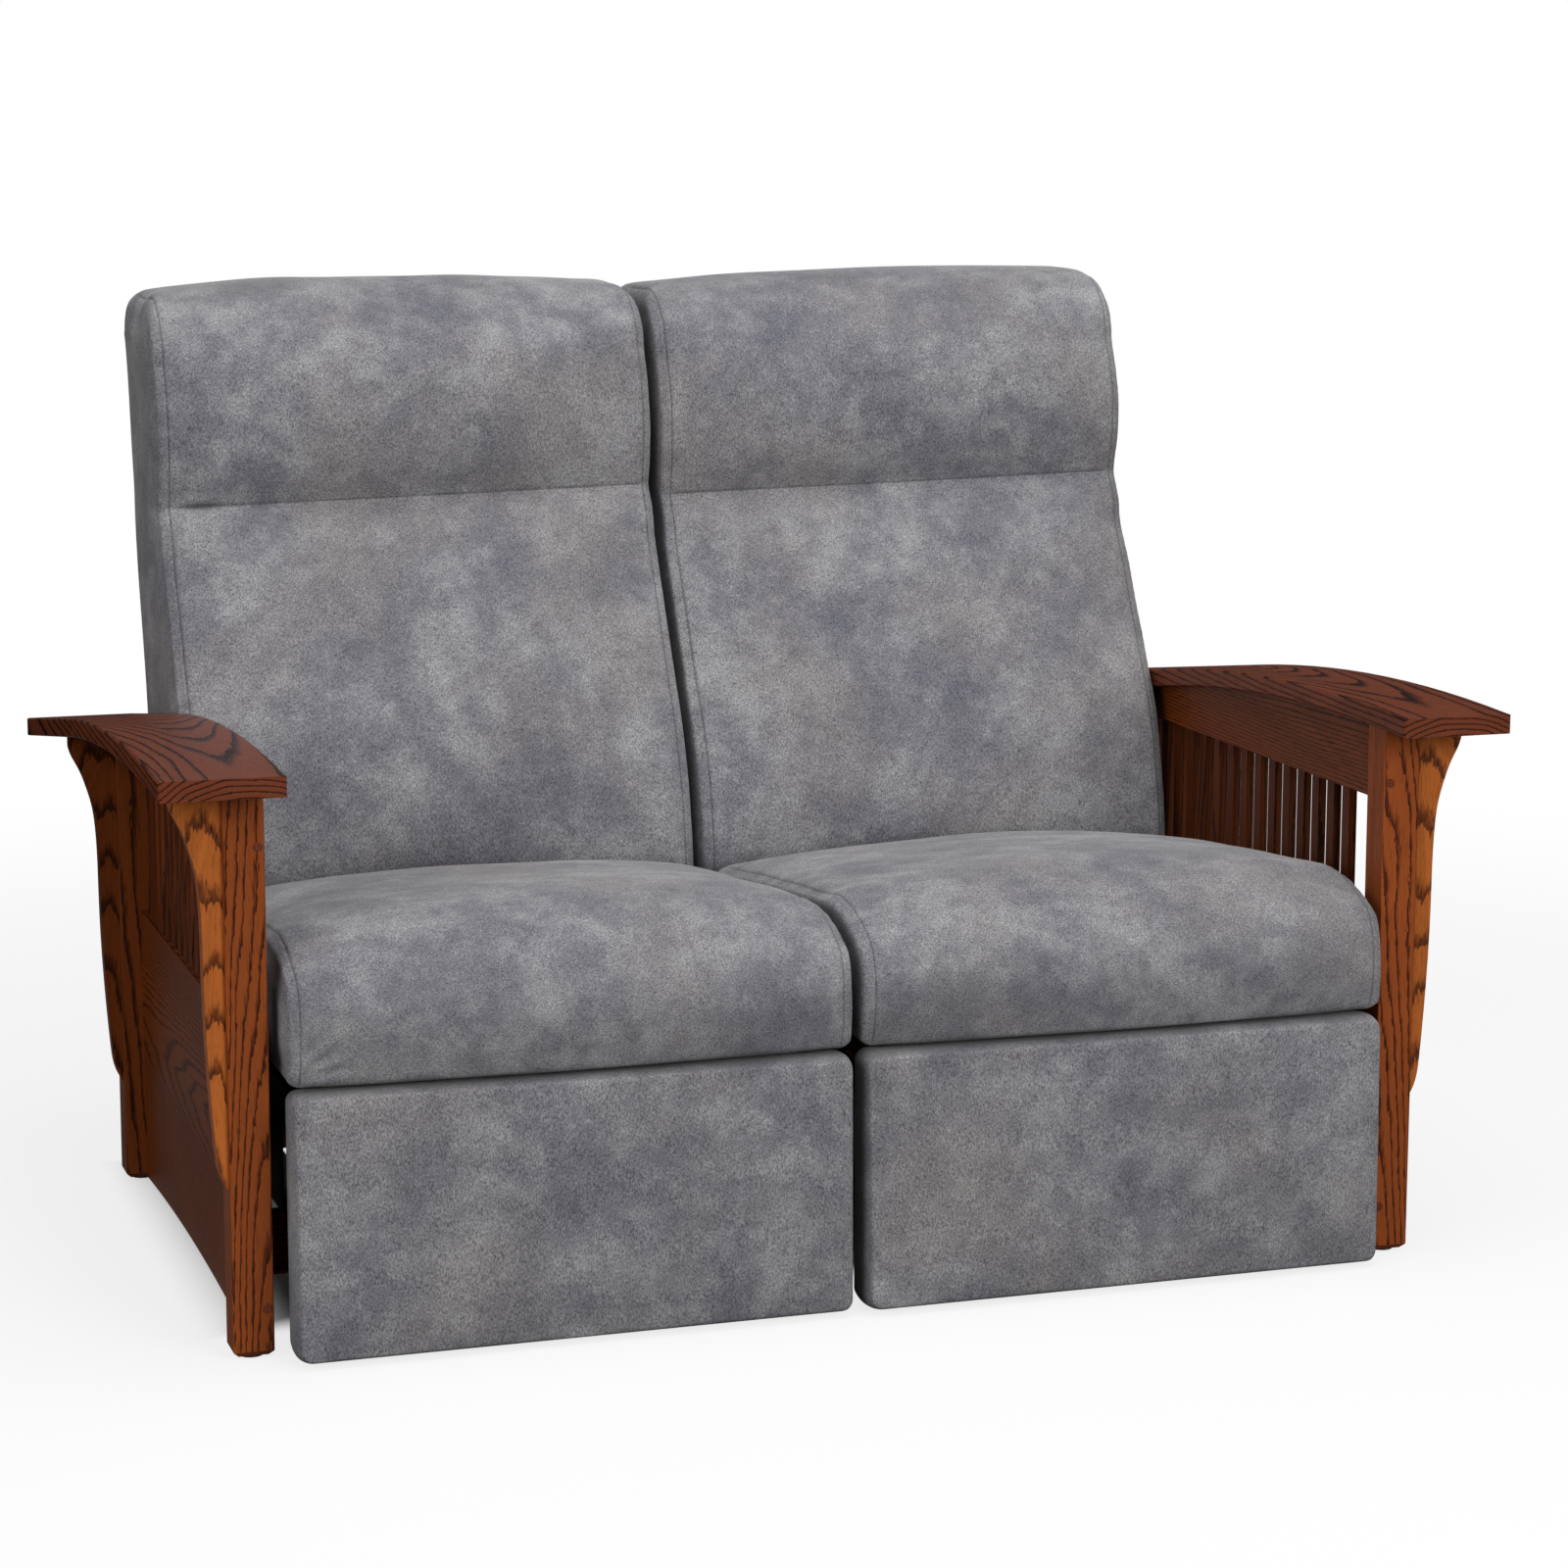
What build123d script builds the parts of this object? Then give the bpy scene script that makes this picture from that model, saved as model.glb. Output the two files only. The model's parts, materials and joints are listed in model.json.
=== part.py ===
"""Reclining loveseat with bow arms, slatted sides and two independent reclining seats.

Millimetres, +Z up. The front faces -Y and +X is on a viewer's right. The origin is on the
floor, under the middle of the whole piece.
"""
from build123d import *
from math import asin, atan2, cos, degrees, hypot, radians, sin, sqrt, tan
import os

os.makedirs("parts", exist_ok=True)

# Driving sizes of the whole piece
overall_depth = 1085.0
seat_width = 629.0
centre_gap = 8.0
side_gap = 12.5
frame_depth = 797.0
overrun = 40.0
soft_clearance = 0.3

# Arm boards
arm_front_overhang = 70.0
arm_inner_overhang = 12.0
arm_width = 133.35
arm_thickness = 22.2
arm_length = 1058.0
arm_peak_height = 645.3
arm_peak_setback = 159.0
arm_bend_setback = 670.0
arm_bow_radius = 3526.0
arm_edge_radius = 2.5

# Posts, their floor glides and the plugs over their screws
post_size = 44.45
post_edge_radius = 2.5
post_foot_chamfer = 6.0
glide_height = 3.0
glide_radius = 14.0
glide_edge_radius = 1.0
plug_radius = 5.0
plug_depth = 8.0
plug_stand = 1.2
plug_clearance = 0.05
plug_from_inner_face = 7.6
plug_low_height = 56.0
plug_high_height = 556.5

# Aprons, slats and lower side panels
apron_thickness = 20.0
apron_inset = 1.0
apron_bottom_height = 536.0
panel_thickness = 19.05
panel_top_height = 342.0
panel_end_height = 4.0
panel_arch_rise = 12.0
slat_count = 15
slat_end_pitches = 1.635
slat_width = 19.0
slat_thickness = 10.0

# Corbels, given as shares of projection and of length from the arm down
corbel_length = 437.0
corbel_projection = 55.0
corbel_thickness = 19.0
corbel_setback = 6.0
corbel_shares = [
    (1.0, 0.034),
    (0.94, 0.06),
    (0.78, 0.1),
    (0.625, 0.152),
    (0.5, 0.21),
    (0.44, 0.27),
    (0.4, 0.469),
    (0.29, 0.8),
    (0.23, 0.897),
    (0.15, 0.961),
    (0.0, 1.0),
]

# Stretchers between the two sides
stretcher_thickness = 25.0
stretcher_height = 70.0
stretcher_bottom_height = 40.0
stretcher_edge = 3.0
front_stretcher_setback = 170.0
rear_stretcher_inset = 72.0

# Mechanism plates and pivots
mechanism_side_inset = 29.5
plate_thickness = 4.0
plate_gap = 0.5
link_width = 24.0
ear_radius = 16.0
pin_radius = 5.0
pin_clearance = 0.08
pin_head_radius = 8.0
pin_head_thickness = 2.0
open_pivot_clearance = 1.5
lift_pivot_setback = 150.0
lift_pivot_height = 230.0
lift_length = 200.0
lift_rest_angle = 75.0
guide_forward = 40.0
guide_rise = 12.0
reach_length = 180.0
reach_rest_angle = 70.5
tube_radius = 9.0
tube_wall = 2.0
channel_width = 30.0
channel_height = 25.0
channel_wall = 3.0
channel_front_setback = 165.0
channel_rear_overhang = 5.0
flange_thickness = 4.0
flange_front_setback = 200.0
flange_rear_inset = 20.0
flange_reach = 46.0
plate_front_setback = 178.0
plate_neck_height = 200.0
recline_pivot_inset = 242.66
recline_pivot_height = 340.0

# Seat frame and webbing
seat_frame_side_gap = 30.0
seat_frame_setback = 28.0
seat_frame_inset = 78.0
seat_rail_thickness = 20.0
seat_rail_height = 57.0
webbing_count = 5
webbing_width = 50.0
webbing_thickness = 2.0

# Seat cushion: outline points are shares of depth and height
seat_bottom_height = 302.0
seat_height = 146.0
seat_overhang = 41.0
seat_back_gap = 17.0
seat_crown = 20.0
seat_front_bulge = 12.0
seat_edge_draw = 5.0
seat_corner_radius = 20.0
seat_front_shares = [(0.036, 0.0), (0.0, 0.45), (0.022, 0.75)]
seat_shoulder_shares = [(0.072, 0.865), (0.235, 1.0)]
seat_top_shares = [(0.6, 1.0), (0.97, 0.97)]
seat_rear_shares = [(1.0, 0.55), (0.985, 0.0)]
seat_seam_share = 0.955

# Footrest: pad, board and brackets
footrest_side_inset = 2.5
footrest_height = 290.0
footrest_bottom_height = 4.0
footrest_overhang = 48.0
footrest_thickness = 54.0
footrest_corner_radius = 12.0
footrest_crown_shares = [(0.0, 0.4), (0.35, 0.0), (0.7, 0.15), (1.0, 1.0)]
footrest_draw = 5.0
footrest_face_radius = 6.0
board_thickness = 12.0
board_side_inset = 32.0
board_height = 250.0
board_corner_radius = 15.0
bracket_thickness = 3.0
bracket_foot = 30.0
bracket_height = 80.0

# Backrest: cushion, frame, panel and brackets. The front outline is given in shares of its
# height, of its thickness ahead of the rear face, and of the bulge in the middle
back_side_inset = 9.0
back_bottom_height = 362.0
back_lean = 14.3
back_top_height = 1106.0
back_top_radius = 45.0
back_side_radius = 45.0
back_bulge = 16.0
back_top_crown = 6.0
back_edge_draw = 7.0
back_thickness = 272.3
back_seam_round = 7.0
back_crest_length = 107.0
back_front_shares = [
    (0.0, 1.0, 0.0),
    (0.172, 1.0463, 1.0),
    (0.336, 0.9622, 1.0),
    (0.5753, 0.78, 1.0),
    (0.6519, 0.7341, 0.0),
    (0.7634, 0.8593, 1.0),
    (0.8844, 0.8483, 1.0),
    (0.9624, 0.7999, 1.0),
]
back_top_arc_rise = 5.0
back_seam_share = 0.955
cushion_section_count = 5
back_frame_depth = 95.0
back_rail_thickness = 20.0
back_frame_foot = 8.0
back_frame_drop = 62.0
back_panel_thickness = 6.0
back_mid_rail_share = 0.45
back_bracket_width = 28.0
back_bracket_inset = 72.0
back_bracket_knee_rise = 4.0
back_bracket_head_rise = 130.0

# Places that follow from the sizes
front_y = -overall_depth / 2
post_front_y = front_y + arm_front_overhang
post_rear_y = post_front_y + frame_depth
rear_stretcher_y = post_rear_y - rear_stretcher_inset
seat_inner_x = centre_gap / 2
seat_centre_x = seat_inner_x + seat_width / 2
post_inner_x = seat_inner_x + seat_width + side_gap
post_outer_x = post_inner_x + post_size
arm_inner_x = post_inner_x - arm_inner_overhang
webbing_bottom = seat_bottom_height - soft_clearance - webbing_thickness
seat_rail_bottom = webbing_bottom - seat_rail_height
channel_bottom = stretcher_bottom_height + stretcher_height
arm_arc_y = front_y + arm_peak_setback
arm_arc_z = arm_peak_height - arm_bow_radius
arm_bend_y = front_y + arm_bend_setback
arm_slope = asin((arm_bend_y - arm_arc_y) / arm_bow_radius)
lean = radians(back_lean)
back_corner = (overall_depth / 2 - back_top_radius, back_top_height - back_top_radius)
back_face = (
    back_corner[0] + back_top_radius * cos(lean),
    back_corner[1] - back_top_radius * sin(lean),
)
mechanism_half_span = seat_width / 2 - mechanism_side_inset
seat_frame_half = mechanism_half_span - seat_frame_side_gap
footrest_width = seat_width - 2 * footrest_side_inset
board_width = footrest_width - 2 * board_side_inset
back_width = seat_width - back_side_inset
back_centre_x = seat_inner_x + back_width / 2


def setback(distance):
    """The y of a place that lies a distance behind the posts' front faces."""
    return post_front_y + distance


def back_rear(height):
    """The y of the backrest's sloping rear face at a height."""
    return back_face[0] - (back_face[1] - height) * tan(lean)


# The seat reaches back to the foot of the backrest
seat_front_y = setback(-seat_overhang)
seat_depth = back_rear(back_bottom_height) - back_thickness - seat_back_gap - seat_front_y
seat_frame_depth = seat_depth - seat_frame_inset
flange_length = seat_frame_setback + seat_frame_depth - flange_rear_inset - flange_front_setback


def arm_height(y, depth_below_top):
    """Height of the arm board at y: an arc to the bend, then a straight slope."""
    radius = arm_bow_radius - depth_below_top
    bend = arm_arc_y + radius * sin(arm_slope)
    if y <= bend:
        return arm_arc_z + sqrt(radius**2 - (y - arm_arc_y) ** 2)
    return arm_arc_z + radius * cos(arm_slope) - (y - bend) * tan(arm_slope)


def arm_edge(y_start, y_end, depth_below_top):
    """Lines of the arm board's side view from y_start to y_end, at one depth in the board."""
    bend = arm_arc_y + (arm_bow_radius - depth_below_top) * sin(arm_slope)
    stops = [y_start, y_end]
    if min(stops) < bend < max(stops):
        stops = [y_start, bend, y_end]
    for first, last in zip(stops, stops[1:]):
        middle = (first + last) / 2
        ends = [(y, arm_height(y, depth_below_top)) for y in (first, middle, last)]
        if middle < bend:
            ThreePointArc(*ends)
        else:
            Line(ends[0], ends[2])


def under_arm_face(y_start, y_end, bottom):
    """Side view of a piece that stands between two places and ends under the arm board."""
    with BuildLine() as outline:
        arm_edge(y_start, y_end, arm_thickness)
        Polyline(
            (y_end, arm_height(y_end, arm_thickness)),
            (y_end, bottom),
            (y_start, bottom),
            (y_start, arm_height(y_start, arm_thickness)),
        )
    make_face(outline.edges())


def write_piece(name, piece):
    """Label one finished piece and export it."""
    piece.label = name
    export_step(piece, f"parts/{name}.step")


def write_pair(name, right_piece):
    """Export a right-hand piece and its mirror image on the left."""
    write_piece(f"right_{name}", right_piece)
    with BuildPart() as left:
        mirror(right_piece, about=Plane.YZ)
    write_piece(f"left_{name}", left.part)


# Arm board, a bow at the front and straight towards the back
with BuildPart() as arm_board:
    with BuildSketch(Plane.YZ.offset(arm_inner_x)):
        with BuildLine():
            arm_edge(front_y, front_y + arm_length, 0)
            Line(
                (front_y + arm_length, arm_height(front_y + arm_length, 0)),
                (front_y + arm_length, arm_height(front_y + arm_length, arm_thickness)),
            )
            arm_edge(front_y + arm_length, front_y, arm_thickness)
            Line((front_y, arm_height(front_y, arm_thickness)), (front_y, arm_height(front_y, 0)))
        make_face()
    extrude(amount=arm_width)
    fillet(arm_board.faces().group_by(Axis.X)[0].edges(), arm_edge_radius)
    fillet(arm_board.faces().group_by(Axis.X)[-1].edges(), arm_edge_radius)
write_pair("arm_board", arm_board.part)


def post(front):
    """A square post from its glide up to the underside of the arm."""
    with BuildPart() as piece:
        with BuildSketch(Plane.YZ.offset(post_inner_x)):
            under_arm_face(front, front + post_size, glide_height)
        extrude(amount=post_size)
        chamfer(piece.faces().sort_by(Axis.Z)[0].edges(), post_foot_chamfer)
        fillet(piece.edges().filter_by(Axis.Z), post_edge_radius)
    return piece.part


# Front post with the two holes for its plugs, and the back post
plug_x = post_inner_x + plug_from_inner_face
plug_places = [(plug_x, plug_low_height), (plug_x, plug_high_height)]
with BuildPart() as front_post:
    add(post(post_front_y))
    with BuildSketch(Plane.XZ.offset(-post_front_y)):
        with Locations(*plug_places):
            Circle(plug_radius + plug_clearance)
    extrude(amount=-plug_depth, mode=Mode.SUBTRACT)
write_pair("front_post", front_post.part)
write_pair("back_post", post(post_rear_y - post_size))

# Domed plugs in the front posts
with BuildPart() as post_plugs:
    with BuildSketch(Plane.XZ.offset(-post_front_y - plug_depth)):
        for side in (-1, 1):
            with Locations(*[(side * x, z) for x, z in plug_places]):
                Circle(plug_radius)
    extrude(amount=plug_depth + plug_stand)
    plug_rims = post_plugs.faces().group_by(Axis.Y)[0].edges()
    chamfer(plug_rims, plug_stand / 2)
write_piece("post_plugs", post_plugs.part)

# Nail glides under the four posts
with BuildPart() as floor_glides:
    with BuildSketch():
        for side in (-1, 1):
            for front in (post_front_y, post_rear_y - post_size):
                with Locations((side * (post_inner_x + post_size / 2), front + post_size / 2)):
                    Circle(glide_radius)
    extrude(amount=glide_height)
    fillet(floor_glides.faces().group_by(Axis.Z)[0].edges(), glide_edge_radius)
write_piece("floor_glides", floor_glides.part)

# Apron under the arm, its top cut to the arm's curve
rail_front_y = post_front_y + post_size
rail_rear_y = post_rear_y - post_size
apron_x = post_inner_x + apron_inset
with BuildPart() as apron:
    with BuildSketch(Plane.YZ.offset(apron_x)):
        under_arm_face(rail_front_y, rail_rear_y, apron_bottom_height)
    extrude(amount=apron_thickness)
write_pair("apron", apron.part)

# Lower side panel with a shallow arch along the floor
with BuildPart() as side_panel:
    with BuildSketch(Plane.YZ.offset(post_inner_x)):
        with BuildLine():
            ThreePointArc(
                (rail_front_y, panel_end_height),
                ((rail_front_y + rail_rear_y) / 2, panel_end_height + panel_arch_rise),
                (rail_rear_y, panel_end_height),
            )
            Polyline(
                (rail_rear_y, panel_end_height),
                (rail_rear_y, panel_top_height),
                (rail_front_y, panel_top_height),
                (rail_front_y, panel_end_height),
            )
        make_face()
    extrude(amount=panel_thickness)
write_pair("side_panel", side_panel.part)

# Slats from the panel up to the apron
slat_x = apron_x + apron_thickness / 2
slat_pitch = (rail_rear_y - rail_front_y) / (slat_count - 1 + 2 * slat_end_pitches)
slat_middle = ((rail_front_y + rail_rear_y) / 2, (panel_top_height + apron_bottom_height) / 2)
with BuildPart() as side_slats:
    with BuildSketch(Plane.YZ.offset(slat_x - slat_thickness / 2)):
        with Locations(slat_middle):
            with GridLocations(slat_pitch, 0, slat_count, 1):
                Rectangle(slat_width, apron_bottom_height - panel_top_height)
    extrude(amount=slat_thickness)
write_pair("side_slats", side_slats.part)


def corbel(post_face_y):
    """A shaped bracket on a post's outer face, cut to the underside of the arm."""
    front = post_face_y + corbel_setback
    top = arm_height(front, arm_thickness)
    curve = [
        (post_outer_x + out * corbel_projection, top - down * corbel_length) for out, down in corbel_shares
    ]
    with BuildPart() as piece:
        with BuildSketch(Plane.XZ.offset(-front - corbel_thickness)):
            with BuildLine():
                Spline(*curve)
                Polyline(
                    curve[-1],
                    (post_outer_x, top + arm_thickness),
                    (curve[0][0], top + arm_thickness),
                    curve[0],
                )
            make_face()
        extrude(amount=corbel_thickness)
        with BuildSketch(Plane.YZ.offset(post_outer_x)):
            under_arm_face(front, front + corbel_thickness, top - corbel_length - overrun)
        extrude(amount=corbel_projection, mode=Mode.INTERSECT)
    return piece.part


write_pair("front_corbel", corbel(post_front_y))
write_pair("back_corbel", corbel(post_rear_y - post_size))


def stretcher(front):
    """A board on edge from one side panel to the other."""
    with BuildPart() as piece:
        with BuildSketch(Plane.YZ.offset(-post_inner_x)):
            with Locations((front + stretcher_thickness / 2, stretcher_bottom_height + stretcher_height / 2)):
                Rectangle(stretcher_thickness, stretcher_height)
        extrude(amount=2 * post_inner_x)
        chamfer(piece.faces().sort_by(Axis.Z)[0].edges().filter_by(Axis.X), stretcher_edge)
    return piece.part


write_piece("front_stretcher", stretcher(setback(front_stretcher_setback)))
write_piece("rear_stretcher", stretcher(rear_stretcher_y - stretcher_thickness))

# Pivots of the footrest linkage and of the backrest, in side view
lift_pivot = (setback(lift_pivot_setback), lift_pivot_height)
guide_pivot = (lift_pivot[0] - guide_forward, lift_pivot[1] + guide_rise)
lift_reach = lift_length * cos(radians(lift_rest_angle))
lift_drop = lift_length * sin(radians(lift_rest_angle))
knee_pivot = (lift_pivot[0] - lift_reach, lift_pivot[1] - lift_drop)
knee_guide_pivot = (guide_pivot[0] - lift_reach, guide_pivot[1] - lift_drop)
footrest_pivot = (
    knee_pivot[0] - reach_length * cos(radians(reach_rest_angle)),
    knee_pivot[1] + reach_length * sin(radians(reach_rest_angle)),
)
recline_pivot = (back_rear(recline_pivot_height) - recline_pivot_inset, recline_pivot_height)
layer_pitch = plate_thickness + plate_gap
hole_radius = pin_radius + pin_clearance


def layer_low(side, layer):
    """The low x of a steel plate in one layer, counted inwards from the side plate."""
    outer = mechanism_half_span - layer * layer_pitch
    if side > 0:
        return seat_centre_x + outer - plate_thickness
    return seat_centre_x - outer


def bar(first, last, width):
    """A bar with round ends between two pivots, in side view."""
    run = last[0] - first[0]
    rise = last[1] - first[1]
    with Locations(((first[0] + last[0]) / 2, (first[1] + last[1]) / 2)):
        SlotCenterToCenter(hypot(run, rise), width, rotation=degrees(atan2(rise, run)))


def link_pair(first, last, first_hole, last_hole, layer):
    """The two like links of one seat, one in each side's stack of plates."""
    with BuildPart() as piece:
        for side in (-1, 1):
            with BuildSketch(Plane.YZ.offset(layer_low(side, layer))):
                bar(first, last, link_width)
                with Locations(first):
                    Circle(first_hole, mode=Mode.SUBTRACT)
                with Locations(last):
                    Circle(last_hole, mode=Mode.SUBTRACT)
            extrude(amount=plate_thickness)
    return piece.part


def pins(centre, first_layer, last_layer, outer_head, inner_head):
    """Round pins through a stack of plates, both sides of one seat, with heads where named."""
    outer = mechanism_half_span - first_layer * layer_pitch
    inner = mechanism_half_span - last_layer * layer_pitch - plate_thickness
    with BuildPart() as piece:
        for side in (-1, 1):
            with BuildSketch(Plane.YZ.offset(seat_centre_x + side * outer)):
                with Locations(centre):
                    Circle(pin_radius)
            extrude(amount=-side * (outer - inner))
            for wanted, place, way in ((outer_head, outer, side), (inner_head, inner, -side)):
                if wanted:
                    with BuildSketch(Plane.YZ.offset(seat_centre_x + side * place)):
                        with Locations(centre):
                            Circle(pin_head_radius)
                    extrude(amount=way * pin_head_thickness)
    return piece.part


# Base channels, U section with the open side down, on top of both stretchers
channel_rear_y = rear_stretcher_y + channel_rear_overhang
channel_front_y = setback(channel_front_setback)
channel_outer = mechanism_half_span - plate_thickness
with BuildPart() as base_channels:
    with BuildSketch(Plane.XZ.offset(-channel_rear_y)):
        for side in (-1, 1):
            middle = seat_centre_x + side * (channel_outer - channel_width / 2)
            with Locations((middle, channel_bottom + channel_height / 2)):
                Rectangle(channel_width, channel_height)
            with Locations((middle, channel_bottom + (channel_height - channel_wall) / 2)):
                Rectangle(channel_width - 2 * channel_wall, channel_height - channel_wall, mode=Mode.SUBTRACT)
    extrude(amount=channel_rear_y - channel_front_y)
write_pair("base_channels", base_channels.part)

# Side plates that rise from the channels and carry the pivots and the seat frame
plate_top = seat_rail_bottom + ear_radius
plate_rear_y = recline_pivot[0] + ear_radius
plate_step_y = setback(seat_frame_setback + seat_frame_depth)
flange_middle_y = setback(flange_front_setback) + flange_length / 2
with BuildPart() as side_plates:
    for side in (-1, 1):
        with BuildSketch(Plane.YZ.offset(layer_low(side, 0))):
            with BuildLine():
                Polyline(
                    (setback(plate_front_setback), channel_bottom),
                    (setback(plate_front_setback), plate_neck_height),
                    (guide_pivot[0], guide_pivot[1] - ear_radius),
                    (guide_pivot[0], plate_top),
                    (plate_step_y, plate_top),
                    (recline_pivot[0] - ear_radius, recline_pivot[1]),
                    (plate_rear_y, recline_pivot[1]),
                    (plate_rear_y, channel_bottom),
                    close=True,
                )
            make_face()
            with Locations(lift_pivot, guide_pivot, recline_pivot):
                Circle(ear_radius)
        extrude(amount=plate_thickness)
        inner = seat_centre_x + side * channel_outer
        with BuildSketch(Plane.XY.offset(seat_rail_bottom - flange_thickness)):
            with Locations((inner - side * flange_reach / 2, flange_middle_y)):
                Rectangle(flange_reach, flange_length)
        extrude(amount=flange_thickness)
    add(pins(lift_pivot, 0, 2, True, False))
    add(pins(guide_pivot, 0, 1, True, False))
    add(pins(recline_pivot, 0, 1, True, False))
write_pair("side_plates", side_plates.part)

# Lift links with the knee pins fixed in them, and the torque tube that ties them together
with BuildPart() as lift_links:
    add(link_pair(lift_pivot, knee_pivot, hole_radius, pin_radius, 2))
    add(pins(knee_pivot, 2, 4, False, False))
write_pair("lift_links", lift_links.part)

tube_half = mechanism_half_span - 2 * layer_pitch - plate_thickness
with BuildPart() as torque_tube:
    with BuildSketch(Plane.YZ.offset(seat_centre_x - tube_half)):
        with Locations(lift_pivot):
            Circle(tube_radius)
            Circle(tube_radius - tube_wall, mode=Mode.SUBTRACT)
    extrude(amount=2 * tube_half)
write_pair("torque_tube", torque_tube.part)

# Guide links, knee plates and reach links
guide_links = link_pair(guide_pivot, knee_guide_pivot, hole_radius, pin_radius + open_pivot_clearance, 1)
write_pair("guide_links", guide_links)

with BuildPart() as knee_plates:
    add(link_pair(knee_pivot, knee_guide_pivot, hole_radius, pin_radius, 3))
    add(pins(knee_guide_pivot, 1, 3, False, False))
write_pair("knee_plates", knee_plates.part)

with BuildPart() as reach_links:
    add(link_pair(knee_pivot, footrest_pivot, hole_radius, pin_radius, 4))
    add(pins(footrest_pivot, 4, 5, False, True))
write_pair("reach_links", reach_links.part)

# Footrest pad: rounded rectangles from its back face to its crowned front
pad_rear_y = setback(footrest_thickness - footrest_overhang)
footrest_centre_z = footrest_bottom_height + footrest_height / 2
with BuildPart() as footrest_pad:
    for depth_share, draw_share in footrest_crown_shares:
        inset = footrest_draw * draw_share
        with BuildSketch(Plane.XZ.offset(-pad_rear_y + depth_share * footrest_thickness)):
            with Locations((seat_centre_x, footrest_centre_z)):
                RectangleRounded(
                    footrest_width - 2 * inset, footrest_height - 2 * inset, footrest_corner_radius
                )
    loft()
    fillet(footrest_pad.faces().sort_by(Axis.Y)[0].edges(), footrest_face_radius)
write_pair("footrest_pad", footrest_pad.part)

# Footrest board behind the pad, and the brackets that hang it on the reach links
board_front_y = pad_rear_y + soft_clearance
board_rear_y = board_front_y + board_thickness
with BuildPart() as footrest_board:
    with BuildSketch(Plane.XZ.offset(-board_rear_y)):
        with Locations((seat_centre_x, footrest_centre_z)):
            RectangleRounded(board_width, board_height, board_corner_radius)
    extrude(amount=board_thickness)
write_pair("footrest_board", footrest_board.part)

with BuildPart() as footrest_brackets:
    for side in (-1, 1):
        low = layer_low(side, 5)
        with BuildSketch(Plane.YZ.offset(low)):
            with Locations((board_rear_y, footrest_pivot[1])):
                Rectangle(footrest_pivot[0] - board_rear_y, link_width, align=(Align.MIN, Align.CENTER))
            with Locations(footrest_pivot):
                Circle(link_width / 2)
                Circle(hole_radius, mode=Mode.SUBTRACT)
        extrude(amount=plate_thickness)
        foot_x = low + plate_thickness / 2 + side * (plate_thickness - bracket_foot) / 2
        with BuildSketch(Plane.XZ.offset(-board_rear_y - bracket_thickness)):
            with Locations((foot_x, footrest_pivot[1])):
                Rectangle(bracket_foot, bracket_height)
        extrude(amount=bracket_thickness)
write_pair("footrest_brackets", footrest_brackets.part)

# Seat frame: side rails between a front and a rear rail
frame_front_y = setback(seat_frame_setback)
frame_rear_y = frame_front_y + seat_frame_depth
with BuildPart() as seat_frame:
    with BuildSketch(Plane.XY.offset(seat_rail_bottom)):
        with Locations((seat_centre_x, (frame_front_y + frame_rear_y) / 2)):
            Rectangle(2 * seat_frame_half, seat_frame_depth)
            Rectangle(
                2 * (seat_frame_half - seat_rail_thickness),
                seat_frame_depth - 2 * seat_rail_thickness,
                mode=Mode.SUBTRACT,
            )
    extrude(amount=seat_rail_height)
write_pair("seat_frame", seat_frame.part)

# Elastic webbing from the front rail to the rear rail
with BuildPart() as seat_webbing:
    with BuildSketch(Plane.XY.offset(webbing_bottom)):
        with Locations((seat_centre_x, (frame_front_y + frame_rear_y) / 2)):
            with GridLocations(2 * seat_frame_half / webbing_count, 0, webbing_count, 1):
                Rectangle(webbing_width, seat_frame_depth)
    extrude(amount=webbing_thickness)
write_pair("seat_webbing", seat_webbing.part)


def cushion_lofts(section, seam_share):
    """Loft a cushion across its width: a full middle between its seams, and drawn-in ends."""
    step = 2 * seam_share / (cushion_section_count - 1)
    places = [step * index - seam_share for index in range(cushion_section_count)]
    loft(sections=[section(place, 1 - place**2, 0) for place in places])
    for end in (-1, 1):
        loft(sections=[section(end * seam_share, 1 - seam_share**2, 0), section(end, 0, 1)], ruled=True)


def seat_section(side_share, swell, drawn):
    """Side view of the seat cushion at one place across it, fuller towards the middle."""
    draw = seat_edge_draw * drawn
    front = seat_front_y - seat_front_bulge * swell + draw
    depth = seat_depth + seat_front_bulge * swell - 2 * draw
    bottom = seat_bottom_height + draw
    height = seat_height + seat_crown * swell - 2 * draw

    def place(shares):
        return [(front + back * depth, bottom + up * height) for back, up in shares]

    face = place(seat_front_shares)
    shoulder = place(seat_shoulder_shares)
    top = place(seat_top_shares)
    rear = place(seat_rear_shares)
    with BuildSketch(Plane.YZ.offset(seat_centre_x + side_share * seat_width / 2)) as section:
        with BuildLine():
            ThreePointArc(*face)
            ThreePointArc(face[-1], *shoulder)
            ThreePointArc(shoulder[-1], *top)
            ThreePointArc(top[-1], *rear)
            Line(rear[-1], face[0])
        make_face()
    return section.sketch


# Seat cushion: lofted across its width, with rounded front corners
with BuildPart() as seat_cushion:
    cushion_lofts(seat_section, seat_seam_share)
    with BuildSketch(Plane.XY.offset(seat_bottom_height)):
        with Locations((seat_centre_x, seat_front_y - seat_front_bulge)):
            RectangleRounded(
                seat_width,
                seat_depth + seat_front_bulge + seat_corner_radius,
                seat_corner_radius,
                align=(Align.CENTER, Align.MIN),
            )
    extrude(amount=seat_height + seat_crown + overrun, mode=Mode.INTERSECT)
write_pair("seat_cushion", seat_cushion.part)


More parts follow.
